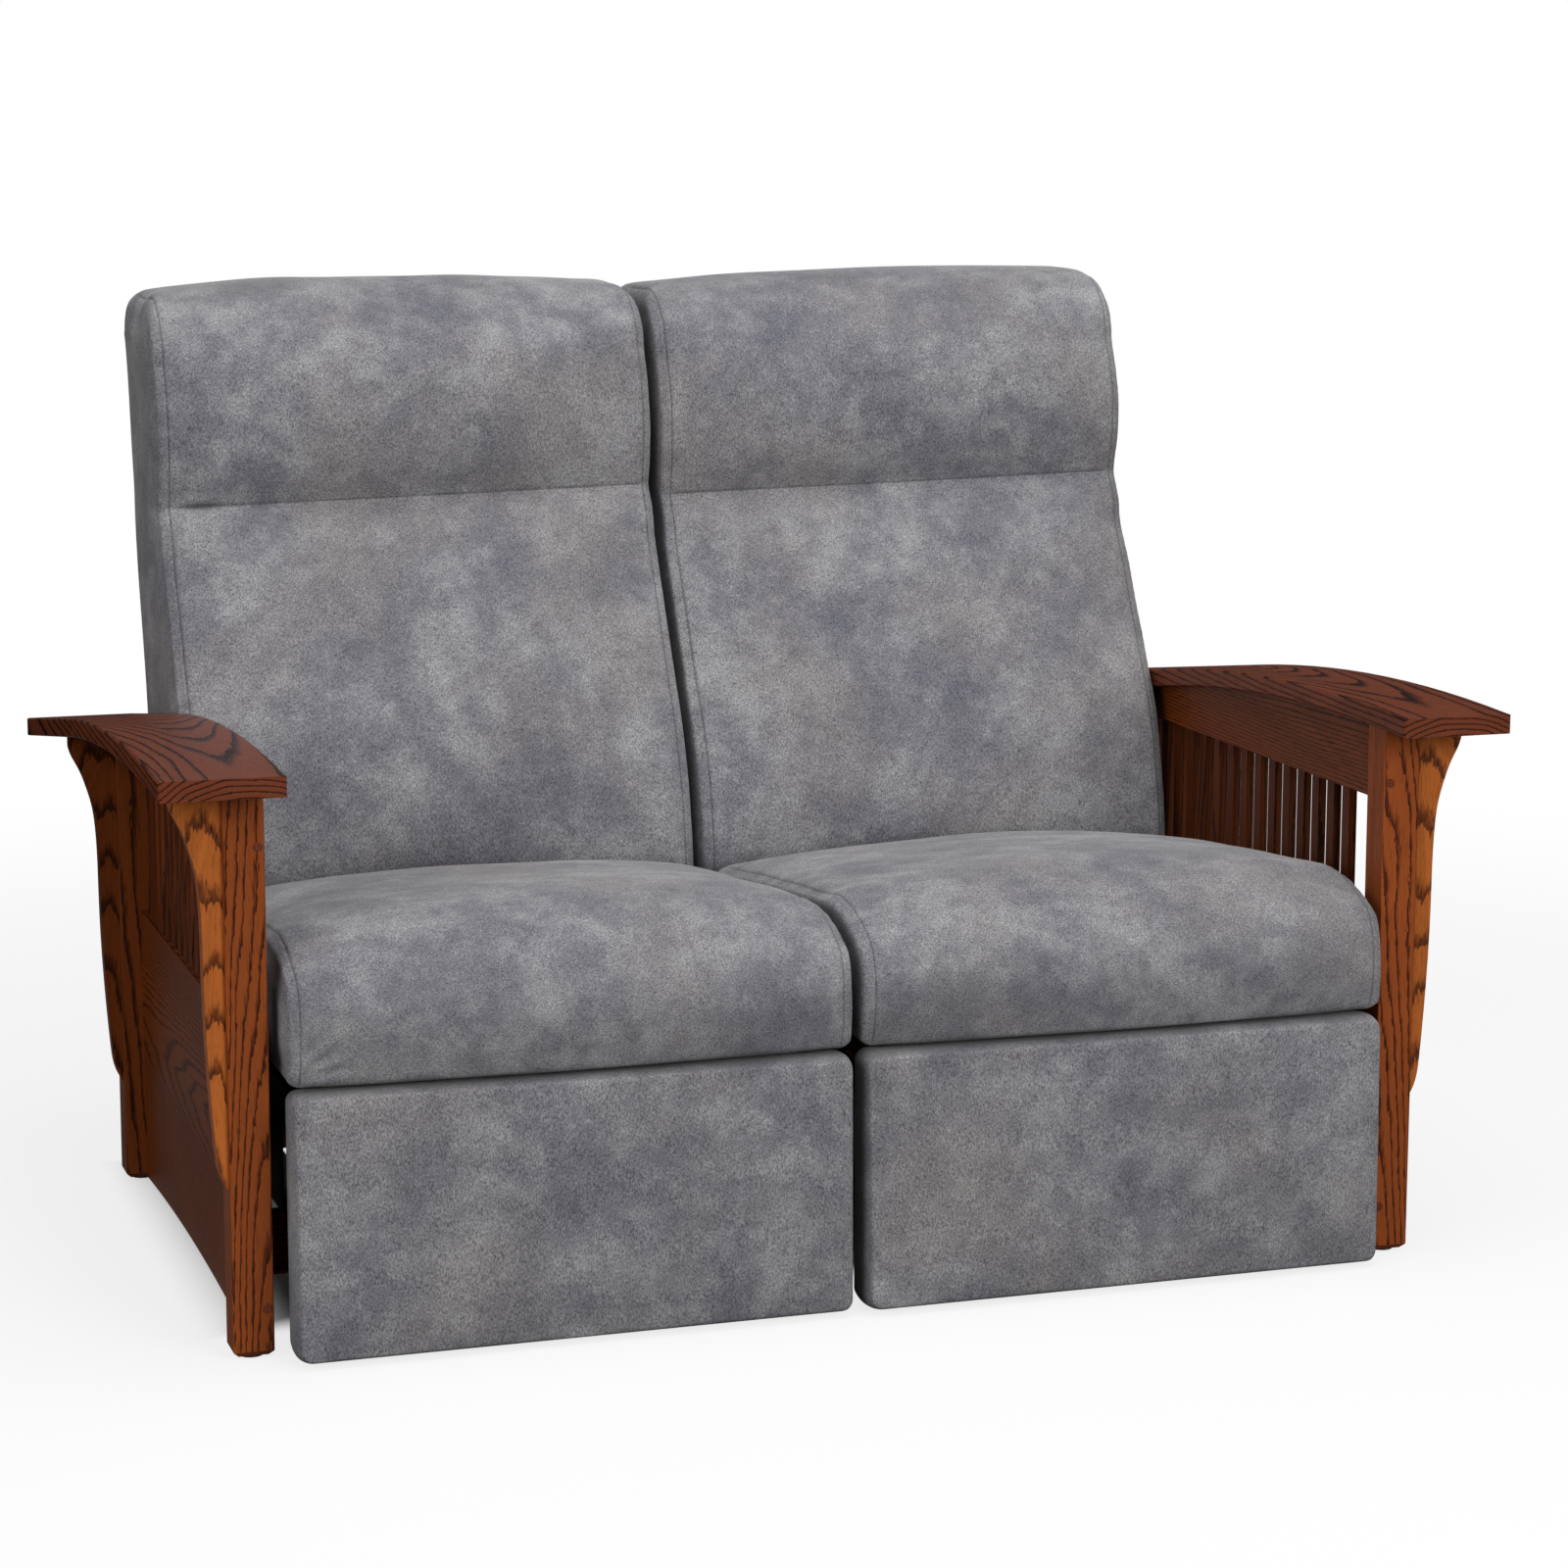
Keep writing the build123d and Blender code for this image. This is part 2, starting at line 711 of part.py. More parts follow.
def back_section(side_share, swell, drawn):
    """Side view of the back cushion: lumbar part, seam, head bolster and rounded top."""
    draw = back_edge_draw * drawn
    top = back_top_height - draw

    def front(height_share, thickness_share, bulge_share):
        height = back_bottom_height + height_share * (back_top_height - back_bottom_height)
        bulge = back_bulge * swell * bulge_share
        return (back_rear(height) - thickness_share * back_thickness - bulge + draw, height)

    foot, lumbar_middle, lumbar, shoulder, seam, head_middle, head, brow = [
        front(*shares) for shares in back_front_shares
    ]
    above_shoulder = (
        (shoulder[0] + seam[0]) / 2 - back_seam_round / 2,
        (shoulder[1] + seam[1]) / 2 + back_seam_round,
    )
    crest = (back_corner[0] - back_crest_length, top + back_top_crown * swell)
    crest_end = (back_corner[0], top)
    crest_middle = ((crest[0] + crest_end[0]) / 2, (crest[1] + crest_end[1]) / 2 + back_top_arc_rise)
    corner_radius = back_top_radius - draw
    corner = (back_corner[0], top - corner_radius)
    turn = (radians(90) - lean) / 2
    corner_middle = (corner[0] + corner_radius * sin(turn), corner[1] + corner_radius * cos(turn))
    corner_end = (corner[0] + corner_radius * cos(lean), corner[1] - corner_radius * sin(lean))
    heel = (corner_end[0] - (corner_end[1] - back_bottom_height) * tan(lean), back_bottom_height)
    with BuildSketch(Plane.YZ.offset(back_centre_x + side_share * back_width / 2)) as section:
        with BuildLine():
            ThreePointArc(foot, lumbar_middle, lumbar)
            Line(lumbar, shoulder)
            ThreePointArc(shoulder, above_shoulder, seam)
            ThreePointArc(seam, head_middle, head)
            ThreePointArc(head, brow, crest)
            ThreePointArc(crest, crest_middle, crest_end)
            ThreePointArc(crest_end, corner_middle, corner_end)
            Polyline(corner_end, heel, foot)
        make_face()
    return section.sketch


# The frame inside the back, laid out on the plane of the rear face
panel_plane = Plane(
    origin=(back_centre_x, back_face[0], back_face[1]),
    x_dir=(1, 0, 0),
    z_dir=(0, -cos(lean), sin(lean)),
)
frame_half = mechanism_half_span - layer_pitch - plate_thickness
frame_centre_x = seat_centre_x - back_centre_x
pocket_half = frame_half + plate_thickness + soft_clearance
pocket_depth = back_panel_thickness + back_frame_depth + soft_clearance
frame_top = -back_frame_drop
frame_bottom = -(back_face[1] - back_bottom_height - back_frame_foot) / cos(lean)
back_frame_height = frame_top - frame_bottom

# Back cushion, with a pocket in its rear for the frame
with BuildPart() as back_cushion:
    cushion_lofts(back_section, back_seam_share)
    with BuildSketch(Plane.XZ.offset(-setback(0))):
        with Locations((back_centre_x, back_top_height + back_top_crown + back_top_arc_rise)):
            RectangleRounded(
                back_width,
                back_top_height - back_bottom_height + 2 * overrun,
                back_side_radius,
                align=(Align.CENTER, Align.MAX),
            )
    extrude(amount=-overall_depth, mode=Mode.INTERSECT)
    with BuildSketch(panel_plane):
        with Locations((frame_centre_x, frame_top + soft_clearance)):
            Rectangle(2 * pocket_half, back_frame_height + 2 * overrun, align=(Align.CENTER, Align.MAX))
    extrude(amount=pocket_depth, mode=Mode.SUBTRACT)
    with BuildSketch(panel_plane):
        with Locations((frame_centre_x, frame_top + soft_clearance)):
            Rectangle(2 * pocket_half, back_frame_height + 2 * overrun, align=(Align.CENTER, Align.MAX))
    extrude(amount=-overrun, mode=Mode.SUBTRACT)
write_pair("back_cushion", back_cushion.part)

# Outside-back panel, flush with the rear face
with BuildPart() as back_panel:
    with BuildSketch(panel_plane):
        with Locations((frame_centre_x, frame_top)):
            Rectangle(
                2 * (pocket_half - soft_clearance), back_frame_height, align=(Align.CENTER, Align.MAX)
            )
    extrude(amount=back_panel_thickness)
write_pair("back_panel", back_panel.part)

# Back frame: two stiles, top, middle and bottom rails
with BuildPart() as back_frame:
    with BuildSketch(panel_plane.offset(back_panel_thickness)):
        with Locations((frame_centre_x, frame_top)):
            Rectangle(2 * frame_half, back_frame_height, align=(Align.CENTER, Align.MAX))
        bay_top = frame_top - back_rail_thickness
        bay_height = back_frame_height - 3 * back_rail_thickness
        upper_bay = bay_height * (1 - back_mid_rail_share)
        for start, height in (
            (bay_top, upper_bay),
            (bay_top - upper_bay - back_rail_thickness, bay_height - upper_bay),
        ):
            with Locations((frame_centre_x, start)):
                Rectangle(
                    2 * (frame_half - back_rail_thickness),
                    height,
                    align=(Align.CENTER, Align.MAX),
                    mode=Mode.SUBTRACT,
                )
    extrude(amount=back_frame_depth)
write_pair("back_frame", back_frame.part)

# Steel brackets that hang the back frame on its pivots
knee_height = recline_pivot[1] + back_bracket_knee_rise
head_height = recline_pivot[1] + back_bracket_head_rise
knee = (back_rear(knee_height) - back_bracket_inset, knee_height)
bracket_head = (back_rear(head_height) - back_bracket_inset, head_height)
with BuildPart() as back_brackets:
    for side in (-1, 1):
        with BuildSketch(Plane.YZ.offset(layer_low(side, 1))):
            bar(recline_pivot, knee, back_bracket_width)
            bar(knee, bracket_head, back_bracket_width)
            with Locations(recline_pivot):
                Circle(hole_radius, mode=Mode.SUBTRACT)
        extrude(amount=plate_thickness)
write_pair("back_brackets", back_brackets.part)
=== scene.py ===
"""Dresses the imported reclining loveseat: stained oak sides, suede cushions and dark steel linkages."""
import json
from math import pi, radians

import bmesh
import bpy
import numpy as np
from mathutils import Matrix, Vector


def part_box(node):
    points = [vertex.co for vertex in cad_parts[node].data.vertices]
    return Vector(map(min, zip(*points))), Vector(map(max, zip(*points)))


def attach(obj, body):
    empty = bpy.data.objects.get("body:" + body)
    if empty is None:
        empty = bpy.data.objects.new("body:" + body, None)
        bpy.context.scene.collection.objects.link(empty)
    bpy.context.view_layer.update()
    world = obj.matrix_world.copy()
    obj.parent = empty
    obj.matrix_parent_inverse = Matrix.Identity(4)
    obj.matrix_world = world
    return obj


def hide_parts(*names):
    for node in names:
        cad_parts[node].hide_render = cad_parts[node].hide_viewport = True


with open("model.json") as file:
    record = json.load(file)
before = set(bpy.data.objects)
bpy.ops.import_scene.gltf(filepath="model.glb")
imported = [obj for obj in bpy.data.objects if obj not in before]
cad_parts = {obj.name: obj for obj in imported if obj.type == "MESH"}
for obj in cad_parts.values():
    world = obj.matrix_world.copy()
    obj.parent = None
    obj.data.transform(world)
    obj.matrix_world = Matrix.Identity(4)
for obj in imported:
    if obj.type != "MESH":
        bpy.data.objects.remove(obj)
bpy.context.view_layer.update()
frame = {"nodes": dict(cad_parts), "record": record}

bl_info = {
    "name": "Reclining Loveseat",
    "version": (1, 0, 0),
    "blender": (4, 5, 0),
    "location": "View3D > Sidebar > Loveseat",
    "description": "Dresses a reclining loveseat with oak sides, suede cushions and steel linkages",
    "category": "Object",
}

SIDES = ("left", "right")
MM = 0.001

# Facts of the cushions that the frame's boxes don't give: where the side seams lie in the half width, how
# far the head seam lies below the top, the back's lean, and how deep its wooden frame is let in
SEAM_SHARE = 0.955
HEAD_SEAM_DROP = 0.265
BACK_LEAN = radians(14.3)
FRAME_DEPTH = 0.095

# Masks fade between two values. The first ones are how far a face has to turn to a side before it starts to
# count there and before it fully counts, and the last are distances from a seam, where the cloth is held.
TURNED = (0.5, 0.8)
BROADSIDE = (0.3, 0.8)
UNDERSIDE = (0.5, 0.85)
SEAT_UNDERSIDE = (0.4, 0.8)
SEAT_REAR = (0.5, 0.9)
SEAM_HOLD = (2 * MM, 12 * MM)
SEAM_HOLD_SHARE = 0.4
HEAD_SEAM_HOLD = (3 * MM, 16 * MM)
HEAD_SEAM_HOLD_SHARE = 0.9


def linear(hex_colour):
    """Turns an sRGB hex colour into the linear numbers that the shaders take."""
    parts = [int(hex_colour[i:i + 2], 16) / 255 for i in (1, 3, 5)]
    return tuple(p / 12.92 if p <= 0.04045 else ((p + 0.055) / 1.055) ** 2.4 for p in parts)


def colour_setting(name, description, hex_colour):
    """A colour that the user may change, with its default given as sRGB hex."""
    return bpy.props.FloatVectorProperty(
        name=name, description=description, subtype="COLOR", size=3, min=0, max=1, default=linear(hex_colour)
    )


def length_setting(name, description, metres):
    """A length that the user may change, in metres."""
    return bpy.props.FloatProperty(name=name, description=description, default=metres, unit="LENGTH")


class StageSettings(bpy.types.PropertyGroup):
    """Camera, lamps and floor of the studio."""

    camera_place: bpy.props.FloatVectorProperty(
        name="Camera place", description="Where the camera stands", size=3,
        default=(-1.3806, -4.5251, 1.3263), subtype="TRANSLATION", unit="LENGTH",
    )
    camera_yaw: bpy.props.FloatProperty(
        name="Yaw", description="Turn of the view from straight ahead towards the right arm",
        default=radians(17.85), unit="ROTATION",
    )
    camera_pitch: bpy.props.FloatProperty(
        name="Pitch", description="Tilt of the view, negative when it looks down",
        default=radians(-9.77), unit="ROTATION",
    )
    camera_roll: bpy.props.FloatProperty(
        name="Roll", description="Turn of the picture about the view direction",
        default=radians(0.09), unit="ROTATION",
    )
    lens: bpy.props.FloatProperty(
        name="Lens", description="Focal length in millimetres on a 36 mm sensor", default=91.28, min=10,
    )
    floor_colour: colour_setting("Floor", "Colour of the seamless paper floor", "#F4F4F4")
    floor_size: length_setting("Floor size", "Width and depth of the floor", 40.0)
    shadow_reach: length_setting(
        "Shadow reach", "Distance from the middle over which the floor keeps shadows", 1.3,
    )
    floor_glow: bpy.props.FloatProperty(
        name="Floor glow", description="How far the floor near the loveseat is lifted towards white",
        default=0.8, min=0, max=1, subtype="FACTOR",
    )
    key_power: bpy.props.FloatProperty(
        name="Key lamp", description="Power of the large soft lamp at the front right",
        default=80.0, min=0, unit="POWER",
    )
    fill_power: bpy.props.FloatProperty(
        name="Fill lamp", description="Power of the soft lamp at the front left",
        default=54.0, min=0, unit="POWER",
    )
    top_power: bpy.props.FloatProperty(
        name="Top lamp", description="Power of the soft lamp above", default=56.0, min=0, unit="POWER",
    )
    sky_strength: bpy.props.FloatProperty(
        name="Room light", description="Strength of the even light from all round", default=0.3, min=0,
    )


class OakSettings(bpy.types.PropertyGroup):
    """Stained oak: its colours and the sizes of its grain."""

    # The pairs are partly one stain in lit and shaded copies, besides each piece's own tone: posts and
    # corbels are lighter with painted light from the front; aprons, panels, back posts, back corbels,
    # stretchers and slats are darker with painted shade
    post_late_lit: colour_setting("Post, late wood", "Dense late wood of the posts", "#944A20")
    post_early_lit: colour_setting("Post, early wood", "Porous early wood of the posts", "#451D0C")
    # Painted light: the corbel pair is lighter as if lit from the front
    corbel_late_lit: colour_setting("Corbel, late wood", "Dense late wood of the corbels", "#B5642B")
    corbel_early_lit: colour_setting("Corbel, early wood", "Porous early wood of the corbels", "#562812")
    arm_light: colour_setting("Arm, late wood", "Dense late wood of the arm boards", "#773C25")
    arm_dark: colour_setting("Arm, early wood", "Porous early wood of the arm boards", "#26110C")
    # Painted shade: the side pair is darker for pieces turned away from the lamps
    side_late_shaded: colour_setting("Side, late wood", "Dense late wood of aprons and panels", "#743916")
    side_early_shaded: colour_setting("Side, early wood", "Porous early wood of aprons and panels", "#2C1207")
    # Painted shade: the slat pair is darker as if in the shade inside the arm
    slat_late_shaded: colour_setting("Slat, late wood", "Dense late wood of the slats", "#5C2C12")
    slat_early_shaded: colour_setting("Slat, early wood", "Porous early wood of the slats", "#210E06")
    pore_colour: colour_setting("Pores", "Stain that settled in the pores", "#24100A")
    ring_width: length_setting("Ring width", "Growth of the tree in one year", 3.2 * MM)
    pore_width: length_setting("Pore width", "Width of an open pore, drawn coarse enough to show", 1.0 * MM)
    pore_length: length_setting("Pore length", "Length of an open pore along the grain", 22.0 * MM)


class SuedeSettings(bpy.types.PropertyGroup):
    """Mottled microfibre suede: its colours and the sizes of its pattern."""

    middle: colour_setting("Middle grey", "Ground colour of the cloth", "#7B7A7F")
    light: colour_setting("Light patches", "Brushed patches where the nap lies flat", "#99999B")
    dark: colour_setting("Dark patches", "Patches where the nap stands up", "#5F6068")
    warm: colour_setting("Warm tint", "Faint warm cast of some patches", "#86807C")
    cloud_size: length_setting("Cloud size", "Width of the large soft patches", 130.0 * MM)
    patch_size: length_setting("Patch size", "Width of the small blotches", 34.0 * MM)
    nap_width: length_setting(
        "Nap width", "Width of a tuft of brushed fibre, drawn coarse enough to show", 1.6 * MM,
    )
    nap_length: length_setting("Nap length", "Length of a tuft of brushed fibre", 2.8 * MM)


class CushionSettings(bpy.types.PropertyGroup):
    """How the cushions are filled and sewn."""

    voxel_size: length_setting("Mesh size", "Edge length of the cloth before it is filled", 6.5 * MM)
    pressure: bpy.props.FloatProperty(
        name="Filling", description="Pressure of the filling on the cloth", default=4.0, min=0,
    )
    steps: bpy.props.IntProperty(
        name="Steps", description="Steps of the cloth simulation", default=8, min=1,
    )
    slack: length_setting("Slack", "How far the cloth starts inside the full cushion", 3.0 * MM)
    swell_cap: length_setting("Swell", "How far the filling may move a point of a wide panel", 22.0 * MM)
    side_cap: length_setting(
        "Side swell", "How far the filling may move a point that faces a neighbour", 2.5 * MM,
    )
    seam_depth: length_setting("Seam depth", "Depth of the furrow at a seam", 1.3 * MM)
    seam_width: length_setting("Seam width", "Half width of the furrow at a seam", 1.6 * MM)
    lip_drop: length_setting("Lip", "How far the seat's front lip hangs towards the footrest", 4.0 * MM)
    back_sag: length_setting("Back sag", "How much lower the left end of each back cushion sits", 14.0 * MM)
    back_spread: length_setting(
        "Back spread", "How far the outer side of each back cushion swells", 6.0 * MM,
    )
    seat_fall: length_setting(
        "Seat fall", "How much lower the rear of each seat's top lies than its front", 46.0 * MM,
    )
    head_seam_place: length_setting(
        "Head seam place", "How far behind the middle of the loveseat the head seam lies", 289.0 * MM,
    )
    pad_flare: length_setting(
        "Pad flare", "How far a footrest pad's lower left corner stands out", 14.0 * MM,
    )
    pucker: length_setting("Pucker", "Height of the small gathers along a seam", 0.3 * MM)


def node(tree, kind, values=None, out=0):
    """Adds a node, sets its options, sets or links its inputs, and gives one of its outputs."""
    new = tree.nodes.new(kind)
    for key, value in (values or {}).items():
        if isinstance(value, bpy.types.NodeSocket):
            tree.links.new(value, new.inputs[key])
        elif isinstance(key, str) and hasattr(new, key):
            setattr(new, key, value)
        else:
            new.inputs[key].default_value = value
    return new.outputs[out] if new.outputs else None


def new_material(name):
    """An empty node material, its tree, and the place on the object that its patterns start from."""
    material = bpy.data.materials.new(name)
    material.use_nodes = True
    tree = material.node_tree
    tree.nodes.clear()
    return material, tree, node(tree, "ShaderNodeTexCoord", out="Object")


def finish_material(tree, shader):
    """Links the last shader to the material's output."""
    node(tree, "ShaderNodeOutputMaterial", {"Surface": shader})


def rgba(colour):
    """A colour with full alpha, as the shader inputs want it."""
    return (*colour, 1.0)


# Places of a colour mix among its node's sockets: its share, its two colours and its result
SHARE = 0
FIRST = 6
SECOND = 7
MIXED = 2

# The ways that the boards were cut. The heart of the tree lies at an offset from the board, in metres, and
# the tree leans a few degrees to it, which draws the pointed arches of a flat-sawn face.
GRAIN_TURN = {"X": (0, pi / 2, 0), "Y": (-pi / 2, 0, 0), "Z": (0, 0, 0)}

# The rings sway slowly and have a fine jagged edge, and both are drawn out along the grain
ALONG_GRAIN_SHARE = 0.16
SWAY_SIZE = 60 * MM
SWAY_REACH = 14 * MM
JAG_SIZE = 2.6 * MM
JAG_REACH = 2.0 * MM
BLOTCH_SIZE = 130 * MM
PORE_DEPTH = 0.25 * MM
PORE_SINK_SHARE = 0.8


def stained_oak(name, grain, heart, lean, light, dark, boldness, growth):
    """Flat-sawn red oak, wiping stain and satin lacquer: ring-porous arches, dark pores, a soft coat."""
    oak = bpy.context.scene.loveseat_oak
    material, tree, place = new_material(name)
    turn = Vector(GRAIN_TURN[grain]) + Vector([radians(angle) for angle in lean])
    in_tree = node(tree, "ShaderNodeMapping", {
        "vector_type": "TEXTURE", "Vector": place, "Location": heart, "Rotation": turn,
    })
    along = node(tree, "ShaderNodeMapping", {"Vector": in_tree, "Scale": (1, 1, ALONG_GRAIN_SHARE)})
    sway = node(tree, "ShaderNodeTexNoise", {"Vector": along, "Scale": 1 / SWAY_SIZE, "Detail": 2.0})
    jag = node(tree, "ShaderNodeTexNoise", {"Vector": along, "Scale": 1 / JAG_SIZE, "Detail": 2.0})
    across = node(tree, "ShaderNodeVectorMath", {"operation": "MULTIPLY", 0: in_tree, 1: (1, 1, 0)})
    radius = node(tree, "ShaderNodeVectorMath", {"operation": "LENGTH", 0: across}, out="Value")
    swayed = node(tree, "ShaderNodeMath", {"operation": "MULTIPLY_ADD", 0: sway, 1: SWAY_REACH, 2: radius})
    jagged = node(tree, "ShaderNodeMath", {"operation": "MULTIPLY_ADD", 0: jag, 1: JAG_REACH, 2: swayed})
    years = node(tree, "ShaderNodeMath", {"operation": "DIVIDE", 0: jagged, 1: oak.ring_width * growth})
    season = node(tree, "ShaderNodeMath", {"operation": "FRACT", 0: years})
    summer = node(tree, "ShaderNodeMapRange", {
        "interpolation_type": "SMOOTHSTEP", "Value": season, "From Min": 0.04, "From Max": 0.36,
    })
    before_winter = node(tree, "ShaderNodeMapRange", {
        "interpolation_type": "SMOOTHSTEP", "Value": season,
        "From Min": 0.95, "From Max": 1.0, "To Min": 1.0, "To Max": 0.0,
    })
    late = node(tree, "ShaderNodeMath", {"operation": "MULTIPLY", 0: summer, 1: before_winter})
    firm = node(tree, "ShaderNodeMapRange", {"Value": late, "To Min": 1 - boldness, "To Max": 1.0})
    wood = node(tree, "ShaderNodeMix", {
        "data_type": "RGBA", SHARE: firm, FIRST: rgba(dark), SECOND: rgba(light),
    }, out=MIXED)
    fine = node(tree, "ShaderNodeMapping", {
        "Vector": in_tree, "Scale": (1 / oak.pore_width, 1 / oak.pore_width, 1 / oak.pore_length),
    })
    specks = node(tree, "ShaderNodeTexNoise", {
        "Vector": fine, "Scale": 1.0, "Detail": 1.0, "Roughness": 0.4,
    })
    pores = node(tree, "ShaderNodeMapRange", {
        "interpolation_type": "SMOOTHSTEP", "Value": specks, "From Min": 0.56, "From Max": 0.68,
    })
    porous = node(tree, "ShaderNodeMapRange", {"Value": late, "To Min": 0.8, "To Max": 0.28})
    open_pores = node(tree, "ShaderNodeMath", {"operation": "MULTIPLY", 0: pores, 1: porous})
    pored = node(tree, "ShaderNodeMix", {
        "data_type": "RGBA", SHARE: open_pores, FIRST: wood, SECOND: rgba(oak.pore_colour),
    }, out=MIXED)
    blotch = node(tree, "ShaderNodeTexNoise", {"Vector": along, "Scale": 1 / BLOTCH_SIZE, "Detail": 3.0})
    blotch_tone = node(tree, "ShaderNodeMapRange", {
        "Value": blotch, "From Min": 0.3, "From Max": 0.7, "To Min": 0.82, "To Max": 1.14,
    })
    board = node(tree, "ShaderNodeNewGeometry", out="Random Per Island")
    board_tone = node(tree, "ShaderNodeMapRange", {"Value": board, "To Min": 0.88, "To Max": 1.1})
    tone = node(tree, "ShaderNodeMath", {"operation": "MULTIPLY", 0: blotch_tone, 1: board_tone})
    stained = node(tree, "ShaderNodeVectorMath", {"operation": "SCALE", 0: pored, "Scale": tone})
    polish = node(tree, "ShaderNodeMapRange", {"Value": open_pores, "To Min": 0.34, "To Max": 0.5})
    relief = node(tree, "ShaderNodeMath", {
        "operation": "MULTIPLY_ADD", 0: open_pores, 1: -PORE_SINK_SHARE, 2: firm,
    })
    bump = node(tree, "ShaderNodeBump", {"Height": relief, "Strength": 0.25, "Distance": PORE_DEPTH})
    shader = node(tree, "ShaderNodeBsdfPrincipled", {
        "Base Color": stained, "Roughness": polish, "Normal": bump, "IOR": 1.5, "Specular IOR Level": 0.14,
        "Coat Weight": 0.04, "Coat Roughness": 0.26, "Coat IOR": 1.5,
    })
    finish_material(tree, shader)
    return material


# Painted shade: the cloth's colour is darkened where a neighbour stands nearer than this, as in the gap
# between the two backs
GAP_SHADE_REACH = 60 * MM

# How much the small blotches count beside the large clouds
PATCH_SHARE = 0.75

# Relief of the nap, and of the soft unevenness under it
NAP_HEIGHT = 0.4 * MM
HAND_HEIGHT = 1.2 * MM


def mottled_suede(name, nap_turn):
    """Brushed polyester microfibre, printed to look like worn suede: soft clouds, short nap, little sheen,
    with painted shade in gaps and along seams.
    """
    suede = bpy.context.scene.loveseat_suede
    material, tree, place = new_material(name)
    clouds = node(tree, "ShaderNodeTexNoise", {
        "Vector": place, "Scale": 1 / suede.cloud_size, "Detail": 6.0, "Roughness": 0.62,
    })
    patches = node(tree, "ShaderNodeTexNoise", {
        "Vector": place, "Scale": 1 / suede.patch_size, "Detail": 6.0, "Roughness": 0.66,
    })
    mottle = node(tree, "ShaderNodeMath", {
        "operation": "MULTIPLY_ADD", 0: patches, 1: PATCH_SHARE, 2: clouds,
    })
    darkness = node(tree, "ShaderNodeMapRange", {
        "interpolation_type": "SMOOTHSTEP", "Value": mottle,
        "From Min": 0.94, "From Max": 0.62, "To Max": 0.8,
    })
    lightness = node(tree, "ShaderNodeMapRange", {
        "interpolation_type": "SMOOTHSTEP", "Value": mottle,
        "From Min": 0.82, "From Max": 1.14, "To Max": 0.82,
    })
    shaded = node(tree, "ShaderNodeMix", {
        "data_type": "RGBA", SHARE: darkness, FIRST: rgba(suede.middle), SECOND: rgba(suede.dark),
    }, out=MIXED)
    brushed = node(tree, "ShaderNodeMix", {
        "data_type": "RGBA", SHARE: lightness, FIRST: shaded, SECOND: rgba(suede.light),
    }, out=MIXED)
    drift = node(tree, "ShaderNodeTexNoise", {
        "Vector": place, "Scale": 0.7 / suede.cloud_size, "Detail": 3.0,
    })
    warmth = node(tree, "ShaderNodeMapRange", {
        "Value": drift, "From Min": 0.45, "From Max": 0.8, "To Max": 0.6,
    })
    tinted = node(tree, "ShaderNodeMix", {
        "data_type": "RGBA", SHARE: warmth, FIRST: brushed, SECOND: rgba(suede.warm),
    }, out=MIXED)
    combed = node(tree, "ShaderNodeMapping", {
        "vector_type": "TEXTURE", "Vector": place, "Rotation": nap_turn,
        "Scale": (suede.nap_width, suede.nap_width, suede.nap_length),
    })
    nap = node(tree, "ShaderNodeTexNoise", {
        "Vector": combed, "Scale": 1.0, "Detail": 3.0, "Roughness": 0.7,
    })
    speckle = node(tree, "ShaderNodeMapRange", {
        "Value": nap, "From Min": 0.3, "From Max": 0.7, "To Min": 0.3, "To Max": 1.7,
    })
    # Painted shade: the seam attribute darkens the colour by up to half along each seam's furrow
    seam = node(tree, "ShaderNodeAttribute", {"attribute_name": "seam"}, out="Fac")
    at_seam = node(tree, "ShaderNodeMapRange", {"Value": seam, "To Min": 1.0, "To Max": 0.5})
    sewn = node(tree, "ShaderNodeMath", {"operation": "MULTIPLY", 0: speckle, 1: at_seam})
    # Painted shade: ambient occlusion darkens the cloth's colour in gaps and tight corners
    openness = node(tree, "ShaderNodeAmbientOcclusion", {"samples": 8, "Distance": GAP_SHADE_REACH}, out="AO")
    painted_gap_shade = node(tree, "ShaderNodeMapRange", {"Value": openness, "From Max": 0.65, "To Min": 0.15})
    value = node(tree, "ShaderNodeMath", {"operation": "MULTIPLY", 0: sewn, 1: painted_gap_shade})
    cloth = node(tree, "ShaderNodeVectorMath", {"operation": "SCALE", 0: tinted, "Scale": value})
    fibres = node(tree, "ShaderNodeBump", {"Height": nap, "Strength": 0.35, "Distance": NAP_HEIGHT})
    hand = node(tree, "ShaderNodeBump", {
        "Height": patches, "Strength": 0.3, "Distance": HAND_HEIGHT, "Normal": fibres,
    })
    shader = node(tree, "ShaderNodeBsdfPrincipled", {
        "Base Color": cloth, "Normal": hand, "Roughness": 0.92, "IOR": 1.45, "Specular IOR Level": 0.25,
        "Sheen Weight": 0.18, "Sheen Roughness": 0.45,
    })
    finish_material(tree, shader)
    return material


def suede(part):
    """The suede of one part, made once: its nap runs down backs and footrests, and forwards on seats."""
    name = f"mottled_suede_{part}"
    nap_turn = (pi / 2, 0, 0) if part == "seat" else (0, 0, 0)
    return bpy.data.materials.get(name) or mottled_suede(name, nap_turn)


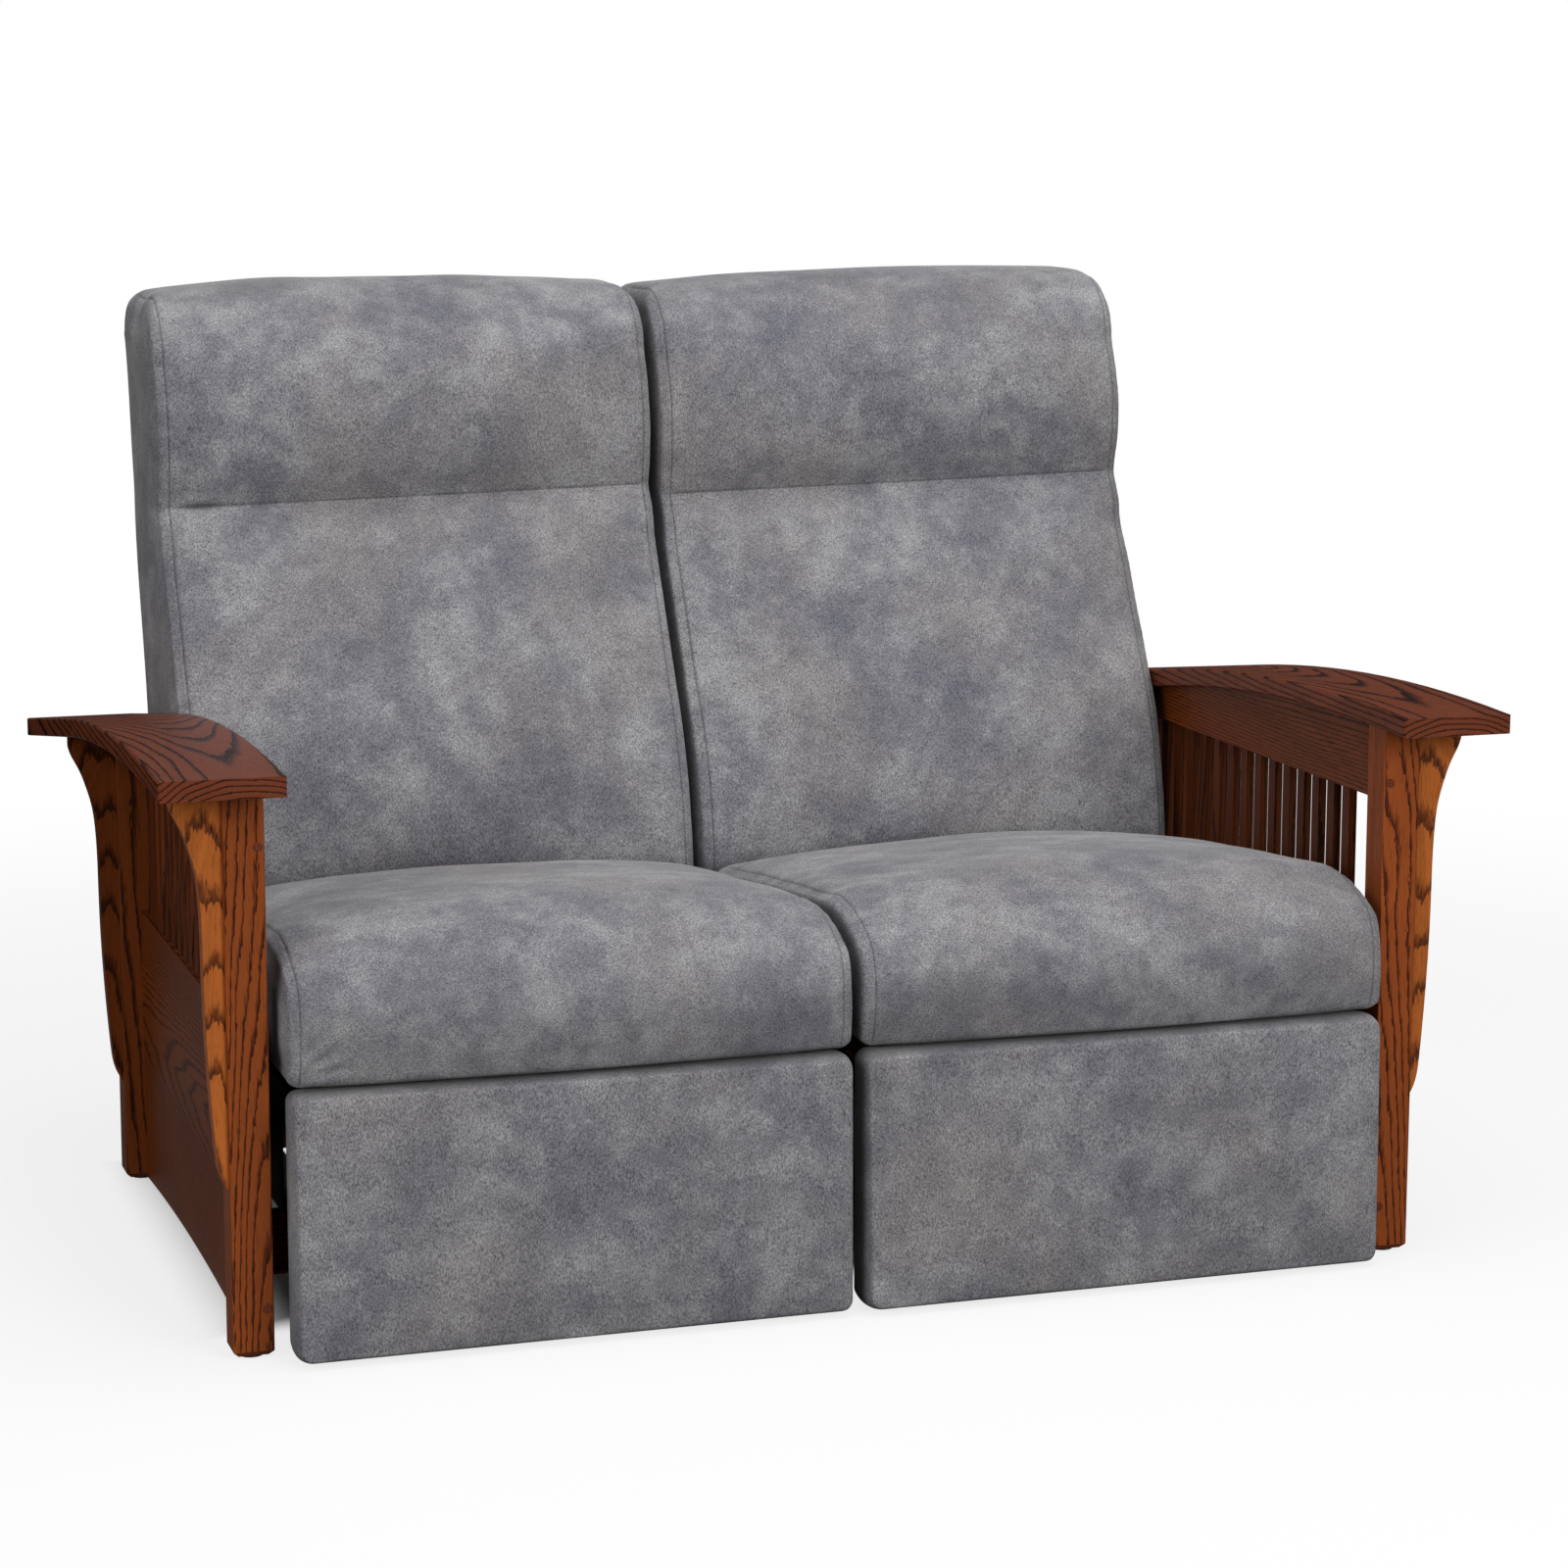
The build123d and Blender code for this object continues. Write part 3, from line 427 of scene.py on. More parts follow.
def powder_coat(name, colour):
    """Black polyester powder coat on steel: a dull even film with the slight waves of melted powder."""
    material, tree, place = new_material(name)
    peel = node(tree, "ShaderNodeTexNoise", {"Vector": place, "Scale": 1 / (1.4 * MM), "Detail": 2.0})
    dust = node(tree, "ShaderNodeTexNoise", {"Vector": place, "Scale": 1 / (40 * MM), "Detail": 4.0})
    worn = node(tree, "ShaderNodeMapRange", {"Value": dust, "To Min": 0.8, "To Max": 1.5})
    base = node(tree, "ShaderNodeVectorMath", {"operation": "SCALE", 0: colour, "Scale": worn})
    bump = node(tree, "ShaderNodeBump", {"Height": peel, "Strength": 0.3, "Distance": 0.05 * MM})
    shader = node(tree, "ShaderNodeBsdfPrincipled", {
        "Base Color": base, "Normal": bump, "Roughness": 0.42, "IOR": 1.5,
    })
    finish_material(tree, shader)
    return material


# Rolled sheet has fine lines, this long and this wide
ROLL_LENGTH = 8 * MM
ROLL_WIDTH = 0.5 * MM


def black_zinc(name, colour, tint):
    """Zinc-plated and black-passivated steel stampings: a dark dull metal with faintly drifting tints."""
    material, tree, place = new_material(name)
    drift = node(tree, "ShaderNodeTexNoise", {
        "Vector": place, "Scale": 1 / (25 * MM), "Detail": 3.0, "Distortion": 1.0,
    })
    rolled = node(tree, "ShaderNodeMapping", {
        "Vector": place, "Scale": (1 / ROLL_LENGTH, 1 / ROLL_LENGTH, 1 / ROLL_WIDTH),
    })
    lines = node(tree, "ShaderNodeTexNoise", {"Vector": rolled, "Scale": 1.0, "Detail": 1.0})
    base = node(tree, "ShaderNodeMix", {
        "data_type": "RGBA", SHARE: drift, FIRST: rgba(colour), SECOND: rgba(tint),
    }, out=MIXED)
    rough = node(tree, "ShaderNodeMapRange", {"Value": lines, "To Min": 0.28, "To Max": 0.48})
    bump = node(tree, "ShaderNodeBump", {"Height": lines, "Strength": 0.15, "Distance": 0.03 * MM})
    shader = node(tree, "ShaderNodeBsdfPrincipled", {
        "Base Color": base, "Roughness": rough, "Normal": bump, "Metallic": 1.0,
    })
    finish_material(tree, shader)
    return material


# The grain of the poplar is drawn out along its boards
POPLAR_GRAIN_SHARE = 0.08


def sawn_hardwood(name, light, dark):
    """Bare sawn poplar of the inner frames: pale, dry wood with fine saw lines and no finish."""
    material, tree, place = new_material(name)
    stretched = node(tree, "ShaderNodeMapping", {"Vector": place, "Scale": (POPLAR_GRAIN_SHARE, 1, 1)})
    grain = node(tree, "ShaderNodeTexNoise", {
        "Vector": stretched, "Scale": 1 / (7 * MM), "Detail": 4.0, "Distortion": 0.4,
    })
    saw = node(tree, "ShaderNodeTexWave", {
        "Vector": place, "Scale": 1 / (60 * MM), "Distortion": 1.5, "Detail": 1.0,
    }, out="Fac")
    base = node(tree, "ShaderNodeMix", {
        "data_type": "RGBA", SHARE: grain, FIRST: rgba(dark), SECOND: rgba(light),
    }, out=MIXED)
    bump = node(tree, "ShaderNodeBump", {"Height": saw, "Strength": 0.3, "Distance": 0.2 * MM})
    shader = node(tree, "ShaderNodeBsdfPrincipled", {
        "Base Color": base, "Normal": bump, "Roughness": 0.8, "IOR": 1.5,
    })
    finish_material(tree, shader)
    return material


# At a scale of 1, the wave texture's bands are this far apart
WAVE_BAND = 0.314


def elastic_webbing(name, yarn, stripe):
    """Woven elastic upholstery webbing: dull black ribs with a lighter rubber stripe every few threads."""
    material, tree, place = new_material(name)
    ribs, threads, stripes = (
        node(tree, "ShaderNodeTexWave", {
            "wave_type": "BANDS", "bands_direction": axis, "Vector": place, "Scale": WAVE_BAND / spacing,
        }, out="Fac")
        for axis, spacing in (("X", 2.5 * MM), ("Y", 2.0 * MM), ("X", 12 * MM))
    )
    weave = node(tree, "ShaderNodeMath", {"operation": "MULTIPLY", 0: ribs, 1: threads})
    share = node(tree, "ShaderNodeMapRange", {"Value": stripes, "From Min": 0.7, "From Max": 0.9})
    base = node(tree, "ShaderNodeMix", {
        "data_type": "RGBA", SHARE: share, FIRST: rgba(yarn), SECOND: rgba(stripe),
    }, out=MIXED)
    bump = node(tree, "ShaderNodeBump", {"Height": weave, "Strength": 0.6, "Distance": 0.5 * MM})
    shader = node(tree, "ShaderNodeBsdfPrincipled", {
        "Base Color": base, "Normal": bump, "Roughness": 0.85, "Sheen Weight": 0.1,
    })
    finish_material(tree, shader)
    return material


def moulded_glide(name, colour):
    """Injection-moulded polyethylene glides: waxy plastic with fine spark texture and scuffs."""
    material, tree, place = new_material(name)
    spark = node(tree, "ShaderNodeTexNoise", {"Vector": place, "Scale": 1 / (0.9 * MM), "Detail": 2.0})
    scuffs = node(tree, "ShaderNodeTexNoise", {"Vector": place, "Scale": 1 / (9 * MM), "Detail": 4.0})
    worn = node(tree, "ShaderNodeMapRange", {"Value": scuffs, "To Min": 0.75, "To Max": 1.35})
    base = node(tree, "ShaderNodeVectorMath", {"operation": "SCALE", 0: colour, "Scale": worn})
    bump = node(tree, "ShaderNodeBump", {"Height": spark, "Strength": 0.25, "Distance": 0.05 * MM})
    shader = node(tree, "ShaderNodeBsdfPrincipled", {
        "Base Color": base, "Normal": bump, "Roughness": 0.5, "IOR": 1.51,
    })
    finish_material(tree, shader)
    return material


def paint(node_name, material):
    """Gives a CAD node its finish."""
    for material_slot in frame["nodes"][node_name].material_slots:
        material_slot.material = material


def of_points(mesh, what):
    """One measure of all a mesh's points, as rows of x, y and z."""
    flat = np.empty(3 * len(mesh.vertices))
    mesh.vertices.foreach_get(what, flat)
    return flat.reshape(-1, 3)


def points(mesh):
    """The places of a mesh's points."""
    return of_points(mesh, "co")


def outward(mesh):
    """The normals of a mesh's points."""
    return of_points(mesh, "normal")


def place_points(mesh, places):
    """Moves a mesh's points to new places."""
    mesh.vertices.foreach_set("co", places.ravel())
    mesh.update()


def ease(value, start, end):
    """A smooth step from 0 at start to 1 at end."""
    share = np.clip((value - start) / (end - start), 0, 1)
    return share * share * (3 - 2 * share)


def keep_result(piece):
    """Turns what the piece's modifiers give into its own mesh, and drops the modifiers."""
    graph = bpy.context.evaluated_depsgraph_get()
    result = bpy.data.meshes.new_from_object(piece.evaluated_get(graph), depsgraph=graph)
    old = piece.data
    piece.modifiers.clear()
    piece.vertex_groups.clear()
    piece.data = result
    bpy.data.meshes.remove(old)
    result.name = piece.name


def modify(piece, kind, **settings):
    """Adds one modifier with its settings and keeps its result."""
    modifier = piece.modifiers.new(kind.title(), kind)
    for key, value in settings.items():
        setattr(modifier, key, value)
    keep_result(piece)


# Points of a CAD skin nearer than this are one point
WELD = 0.05 * MM


def cloth_skin(name, node_name, voxel_size):
    """An even, closed cloth mesh laid over the skin of a CAD cushion."""
    mesh = frame["nodes"][node_name].data.copy()
    mesh.materials.clear()
    weld = bmesh.new()
    weld.from_mesh(mesh)
    bmesh.ops.remove_doubles(weld, verts=weld.verts, dist=WELD)
    weld.to_mesh(mesh)
    weld.free()
    mesh.name = name
    piece = bpy.data.objects.new(name, mesh)
    bpy.context.scene.collection.objects.link(piece)
    modify(piece, "REMESH", mode="VOXEL", voxel_size=voxel_size)
    modify(piece, "SMOOTH", factor=0.5, iterations=4)
    modify(piece, "SHRINKWRAP", target=frame["nodes"][node_name])
    return piece


# A point's freedom counts as none below this share, and as full this near to 1. A point that didn't move
# gets a length that can still be divided by.
HARDLY = 0.001
NO_LENGTH = 1e-9


def fill(piece, free, cap):
    """Starts the cloth inside its full shape, swells it with pressure and caps each point's movement."""
    cushions = bpy.context.scene.loveseat_cushions
    full = points(piece.data)
    start = full - outward(piece.data) * (cushions.slack * free)[:, None]
    place_points(piece.data, start)
    held = piece.vertex_groups.new(name="held")
    for index in np.flatnonzero(free < 1 - HARDLY):
        held.add([int(index)], float(1 - free[index]), "REPLACE")
    cloth = piece.modifiers.new("Cloth", "CLOTH")
    cloth.settings.use_pressure = True
    cloth.settings.uniform_pressure_force = cushions.pressure
    cloth.settings.vertex_group_mass = held.name
    cloth.settings.effector_weights.gravity = 0
    cloth.point_cache.frame_start = 1
    cloth.point_cache.frame_end = cushions.steps
    for step in range(1, cushions.steps + 1):
        bpy.context.scene.frame_set(step)
    keep_result(piece)
    bpy.context.scene.frame_set(1)
    moved = points(piece.data) - full
    distance = np.maximum(np.linalg.norm(moved, axis=1), NO_LENGTH)
    share = np.minimum(1, cap / distance)
    place_points(piece.data, full + moved * share[:, None])
    loose = piece.vertex_groups.new(name="loose")
    for index in np.flatnonzero(free > HARDLY):
        loose.add([int(index)], float(free[index]), "REPLACE")
    modify(piece, "SMOOTH", factor=0.5, iterations=3, vertex_group=loose.name)


# A cut runs through points that are nearer to it than this, and faces up to this many corners stay whole
CUT_SNAP = 0.2 * MM
MOST_CORNERS = 4


def cut_along(piece, seams, width):
    """Cuts edges into the cloth along and beside each seam's plane, so that its furrow is sharp."""
    cloth = bmesh.new()
    cloth.from_mesh(piece.data)
    for place, across, _ in seams:
        for shift in (-width, 0, width):
            everything = cloth.verts[:] + cloth.edges[:] + cloth.faces[:]
            beside = Vector(place) + shift * Vector(across)
            bmesh.ops.bisect_plane(cloth, geom=everything, plane_co=beside, plane_no=across, dist=CUT_SNAP)
    bmesh.ops.triangulate(cloth, faces=[face for face in cloth.faces if len(face.verts) > MOST_CORNERS])
    cloth.to_mesh(piece.data)
    cloth.free()


# The gathers beside a seam: their lengths along it, how many seam widths they reach, and a direction that
# lies along no seam's normal, so that its cross product with a normal runs along the seam. The painted
# shade along the seam's furrow, a dark line, is this share of the seam's width.
GATHER_LENGTHS = (31 * MM, 47 * MM, 83 * MM)
GATHER_REACH = 5
OFF_SEAMS = (0.35, 0.6, 1.0)
SEAM_SHADE_SHARE = 0.5


def sew(piece, seams, seed):
    """Sinks each seam's furrow, gathers the cloth beside it, and marks the seam for the material's painted
    shade along the furrow.

    A seam is a place on its plane, the direction across it, and a function that tells where on the cloth it
    runs, from 0 to 1.
    """
    cushions = bpy.context.scene.loveseat_cushions
    chance = np.random.default_rng(seed)
    cut_along(piece, seams, cushions.seam_width)
    places = points(piece.data)
    normals = outward(piece.data)
    rise = np.zeros(len(places))
    seam_shade = np.zeros(len(places))
    for place, across, runs in seams:
        off = (places - np.array(place)) @ np.array(across)
        here = runs(places, normals)
        along = places @ np.cross(across, OFF_SEAMS)
        gathers = sum(
            np.sin(2 * pi * along / length + chance.uniform(0, 2 * pi)) for length in GATHER_LENGTHS
        )
        beside = np.exp(-np.abs(off) / (GATHER_REACH * cushions.seam_width))
        beside -= np.exp(-np.abs(off) / cushions.seam_width)
        furrow = np.exp(-((off / cushions.seam_width) ** 2))
        rise += here * (cushions.pucker * beside * gathers - cushions.seam_depth * furrow)
        # Painted shade along the furrow, which the material reads to darken the colour there
        seam_shade = np.maximum(seam_shade, here * np.exp(-((off / (SEAM_SHADE_SHARE * cushions.seam_width)) ** 2)))
    place_points(piece.data, places + normals * rise[:, None])
    piece.data.attributes.new("seam", "FLOAT", "POINT").data.foreach_set("value", seam_shade.astype(np.float32))


# Lengths of the slow waves over a wide panel, the last the longest and the highest
PANEL_WAVES = (0.09, 0.14, 0.21, 0.3)


def loosen(piece, free, height, seed):
    """Gives a wide panel the slow unevenness of cloth over soft filling."""
    chance = np.random.default_rng(seed)
    places = points(piece.data)
    normals = outward(piece.data)
    wave = np.zeros(len(places))
    for length in PANEL_WAVES:
        way = chance.normal(size=3)
        way /= np.linalg.norm(way)
        phase = chance.uniform(0, 2 * pi)
        wave += np.sin(2 * pi * (places @ way) / length + phase) * length / PANEL_WAVES[-1]
    place_points(piece.data, places + normals * (free(places, normals) * wave * height)[:, None])


# The ridge beside a fold: its share of the fold's depth, and how many widths away it stands
RIDGE_SHARE = 0.5
RIDGE_OFF = 2.0


def crease(piece, start, end, width, depth):
    """Presses one soft fold into the cloth, from start to end, fading at both ends."""
    places = points(piece.data)
    start, end = np.array(start), np.array(end)
    run = end - start
    share = np.clip(((places - start) @ run) / (run @ run), 0, 1)
    off = np.linalg.norm(places - (start + share[:, None] * run), axis=1) / width
    ridge = RIDGE_SHARE * np.exp(-((off - RIDGE_OFF) ** 2))
    press = depth * np.sin(pi * share) * (ridge - np.exp(-(off**2)))
    place_points(piece.data, places + outward(piece.data) * press[:, None])


def mirror_copy(piece, name):
    """The same cushion for the other seat, mirrored about the middle of the loveseat."""
    mesh = piece.data.copy()
    mesh.name = name
    mesh.transform(Matrix.Scale(-1, 4, (1, 0, 0)))
    mesh.flip_normals()
    twin = bpy.data.objects.new(name, mesh)
    bpy.context.scene.collection.objects.link(twin)
    return twin


def dress(piece, body, node_name, material):
    """Gives a sewn cushion its cloth and its body, and hides its CAD node."""
    piece.data.materials.clear()
    piece.data.materials.append(material)
    piece.data.shade_smooth()
    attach(piece, body)
    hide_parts(node_name)


# How far from the middle the posts and the corbels stand
POST_PLACE = 0.668
CORBEL_PLACE = 0.708


class LOVESEAT_OT_woodwork(bpy.types.Operator):
    """Finishes the oak posts, arms, aprons, slats, panels, corbels, stretchers and plugs"""

    bl_idname = "loveseat.woodwork"
    bl_label = "Finish the Woodwork"

    def execute(self, context):
        oak = context.scene.loveseat_oak
        # Posts and corbels take colours with painted light; the inner pieces and slats take colours with
        # painted shade
        lit_post = (oak.post_late_lit, oak.post_early_lit)
        lit_corbel = (oak.corbel_late_lit, oak.corbel_early_lit)
        arm = (oak.arm_light, oak.arm_dark)
        inner = (oak.side_late_shaded, oak.side_early_shaded)
        shaded_slat = (oak.slat_late_shaded, oak.slat_early_shaded)
        for side, way in zip(SIDES, (-1, 1)):
            post_x = way * POST_PLACE
            corbel_x = way * CORBEL_PLACE
            # For each board: the axis of its grain, the heart's place, the tree's lean in degrees, the
            # colours, how strongly the rings show and how fast the tree grew
            boards = {
                "arm_board": ("Y", (post_x + way * 0.02, 0, 0.53), (1.6, 0.5, 1.5), arm, 1.0, 2.1),
                "apron": ("Y", (post_x - way * 0.05, 0, 0.635), (1.1, 0.5, -1.0), inner, 1.0, 1.3),
                "side_panel": ("Y", (post_x + way * 0.09, 0, 0.2), (1.2, 0.4, 2.0), inner, 0.75, 1.3),
                "side_slats": ("Z", (post_x + way * 0.05, 0.03, 0), (0.5, 1.5, 0), shaded_slat, 0.9, 1.3),
                "front_post": ("Z", (post_x - way * 0.045, -0.34, 0), (-1.3, 0.3, 0), lit_post, 1.0, 1.0),
                "back_post": ("Z", (post_x + way * 0.05, 0.42, 0), (-1.2, 0.4, 0), inner, 0.9, 1.35),
                "front_corbel": ("Z", (corbel_x, -0.366, 0), (-3.3, 0.4, 0), lit_corbel, 0.9, 1.35),
                "back_corbel": ("Z", (corbel_x, 0.38, 0), (-3.3, 0.4, 0), inner, 0.9, 1.35),
            }
            for piece, (grain, heart, lean, colours, boldness, growth) in boards.items():
                name = f"{side}_{piece}"
                finish = f"stained_oak_{name}"
                paint(name, stained_oak(finish, grain, heart, lean, *colours, boldness, growth))
        for name, y in (("front_stretcher", -0.4), ("rear_stretcher", 0.25)):
            finish = f"stained_oak_{name}"
            paint(name, stained_oak(finish, "X", (0, y, -0.04), (0.6, 0.8, 1.2), *inner, 0.7, 1.5))
        paint("post_plugs", stained_oak("stained_oak_plugs", "Y", (0.62, 0, 0.2), (4, 2, 3), *arm, 0.6, 1.0))
        return {"FINISHED"}


class LOVESEAT_OT_metalwork(bpy.types.Operator):
    """Finishes the steel mechanisms, the inner wood frames, the webbing and the glides"""

    bl_idname = "loveseat.metalwork"
    bl_label = "Finish the Mechanisms"

    def execute(self, context):
        finishes = {
            "black_steel": powder_coat("black_powder_coat", linear("#2A2A2C")),
            "plated_steel": black_zinc("black_zinc_plate", linear("#6A6864"), linear("#5B5450")),
            "hardwood": sawn_hardwood("sawn_poplar", linear("#D9C29A"), linear("#B4946A")),
            "webbing": elastic_webbing("elastic_webbing", linear("#26262A"), linear("#7A6A4E")),
            "glide": moulded_glide("moulded_polyethylene", linear("#3F352C")),
        }
        for subpart in frame["record"]["subparts"]:
            if subpart["material_slot"] in finishes:
                paint(subpart["node"], finishes[subpart["material_slot"]])
        return {"FINISHED"}


# The height of the slow waves on a seat, and where its random draws start
SEAT_WAVE = 0.8 * MM
SEAT_WAVE_SEED = 11
SEAT_SEAM_SEED = 21

# Where a seat's cloth comes free above its lower edge
SEAT_EDGE_START = 4 * MM
SEAT_EDGE_END = 30 * MM

# How a seat settles: the front face ends where its top begins, the lip hangs below a height, the corners push
# out to square, and the top falls from behind the roll of the front edge
FRONT_FACE_START = 30 * MM
FRONT_FACE_END = 50 * MM
LIP_START = 10 * MM
LIP_END = 70 * MM
CORNER_PUSH = 8 * MM
CORNER_REACH = 26 * MM
FALL_START = 140 * MM
FALL_HEIGHT = 120 * MM

# Folds at the lower left corner of the left seat: start and end of each, in millimetres from the corner
FOLD_CORNER_IN = 20 * MM
FOLD_WIDTH = 5 * MM
CORNER_FOLD_DEPTH = 2.2 * MM
CORNER_FOLDS = (((16, 0, 12), (58, -6, 44)), ((18, 0, 30), (44, -8, 66)), ((12, 0, 8), (80, -4, 20)))


class LOVESEAT_OT_seats(bpy.types.Operator):
    """Fills and sews the two seat cushions"""

    bl_idname = "loveseat.seats"
    bl_label = "Make the Seat Cushions"

    def execute(self, context):
        cushions = context.scene.loveseat_cushions
        low, high = (Vector(corner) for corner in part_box("right_seat_cushion"))
        middle = (low.x + high.x) / 2
        seam_reach = SEAM_SHARE * (high.x - low.x) / 2
        right = cloth_skin("right_seat_cloth", "right_seat_cushion", cushions.voxel_size)
        places = points(right.data)
        normals = outward(right.data)
        under = ease(-normals[:, 2], *TURNED)
        rear = ease(normals[:, 1], *TURNED)
        at_seam = 1 - ease(np.abs(np.abs(places[:, 0] - middle) - seam_reach), *SEAM_HOLD)
        above_edge = ease(places[:, 2], low.z + SEAT_EDGE_START, low.z + SEAT_EDGE_END)
        free = (1 - under) * (1 - rear) * (1 - SEAM_HOLD_SHARE * at_seam) * above_edge
        broad = (1 - ease(np.abs(normals[:, 0]), *BROADSIDE)) * (1 - under)
        cap = cushions.side_cap + (cushions.swell_cap - cushions.side_cap) * broad
        fill(right, free, cap)
        modify(right, "SUBSURF", levels=1)
        self.settle(right, cushions, low, high)
        pieces = {"right": right, "left": mirror_copy(right, "left_seat_cloth")}
        for number, (side, piece) in enumerate(pieces.items()):
            way = 1 if side == "right" else -1
            seams = [
                ((way * (middle + end * seam_reach), 0, 0), (1, 0, 0), self.on_top_and_front)
                for end in (-1, 1)
            ]
            loosen(piece, self.on_top_and_front, SEAT_WAVE, SEAT_WAVE_SEED + number)
            sew(piece, seams, SEAT_SEAM_SEED + number)
            if side == "left":
                corner = np.array((-high.x, low.y + FOLD_CORNER_IN, low.z))
                for fold in CORNER_FOLDS:
                    start, end = (corner + np.array(place) * MM for place in fold)
                    crease(piece, start, end, FOLD_WIDTH, CORNER_FOLD_DEPTH)
            dress(piece, "frame", f"{side}_seat_cushion", suede("seat"))
        return {"FINISHED"}

    @staticmethod
    def settle(piece, cushions, low, high):
        """Lets the top fall towards the back, squares the lower front corners and hangs the lip."""
        places = points(piece.data)
        front = 1 - ease(places[:, 1], low.y + FRONT_FACE_START, low.y + FRONT_FACE_END)
        near_floor = 1 - ease(places[:, 2], low.z + LIP_START, low.z + LIP_END)
        from_end = np.minimum(places[:, 0] - low.x, high.x - places[:, 0])
        back = np.clip((places[:, 1] - low.y - FALL_START) / (high.y - low.y - FALL_START), 0, 1)
        height = np.clip((places[:, 2] - low.z - LIP_START) / FALL_HEIGHT, 0, 1)
        places[:, 1] -= CORNER_PUSH * front * near_floor * (1 - ease(from_end, 0, CORNER_REACH))
        places[:, 2] -= cushions.lip_drop * front * near_floor + cushions.seat_fall * back * height
        place_points(piece.data, places)

    @staticmethod
    def on_top_and_front(places, normals):
        """Where the cloth faces up or forwards, and not where it lies on the webbing or meets the back."""
        return (1 - ease(-normals[:, 2], *SEAT_UNDERSIDE)) * (1 - ease(normals[:, 1], *SEAT_REAR))


# The height of the slow waves on a back, and where its random draws start
BACK_WAVE = 0.9 * MM
BACK_WAVE_SEED = 31
BACK_SEAM_SEED = 41

# Room that the cloth of a back leaves round its wooden frame
FRAME_DEPTH_ROOM = 5 * MM
FRAME_ROOM = 6 * MM

# Where a back's cloth comes free in front of its rear face, where its front starts, in shares of the
# frame's depth, and how far inside the side seams the head seam fades out
REAR_START = 4 * MM
REAR_END = 30 * MM
FRONT_SHARES = (0.55, 0.85)
PANEL_EDGE = 6 * MM

# Where a back's side starts and ends to spread beside its frame, from its outer side, and how far in front of
# the frame the whole width takes part
SPREAD_BAND = (23 * MM, 3 * MM)
SPREAD_DEPTH = 35 * MM

# A back sags above its foot, and only in front of its frame or above it
SAG_START = 80 * MM
SAG_END = 300 * MM
SAG_DEPTH = (60 * MM, 130 * MM)
ABOVE_FRAME = (5 * MM, 45 * MM)

# The left back's right end also sits lower at the top, and one fold, whose run is in millimetres, starts
# near the left end of its head seam
HEAD_DROP = 9 * MM
HEAD_DROP_START = 150 * MM
HEAD_DROP_END = 600 * MM
HEAD_EDGE = 30 * MM
PINCH_IN = 20 * MM
PINCH_RUN = (55, 0, -1)
PINCH_DEPTH = 3.5 * MM


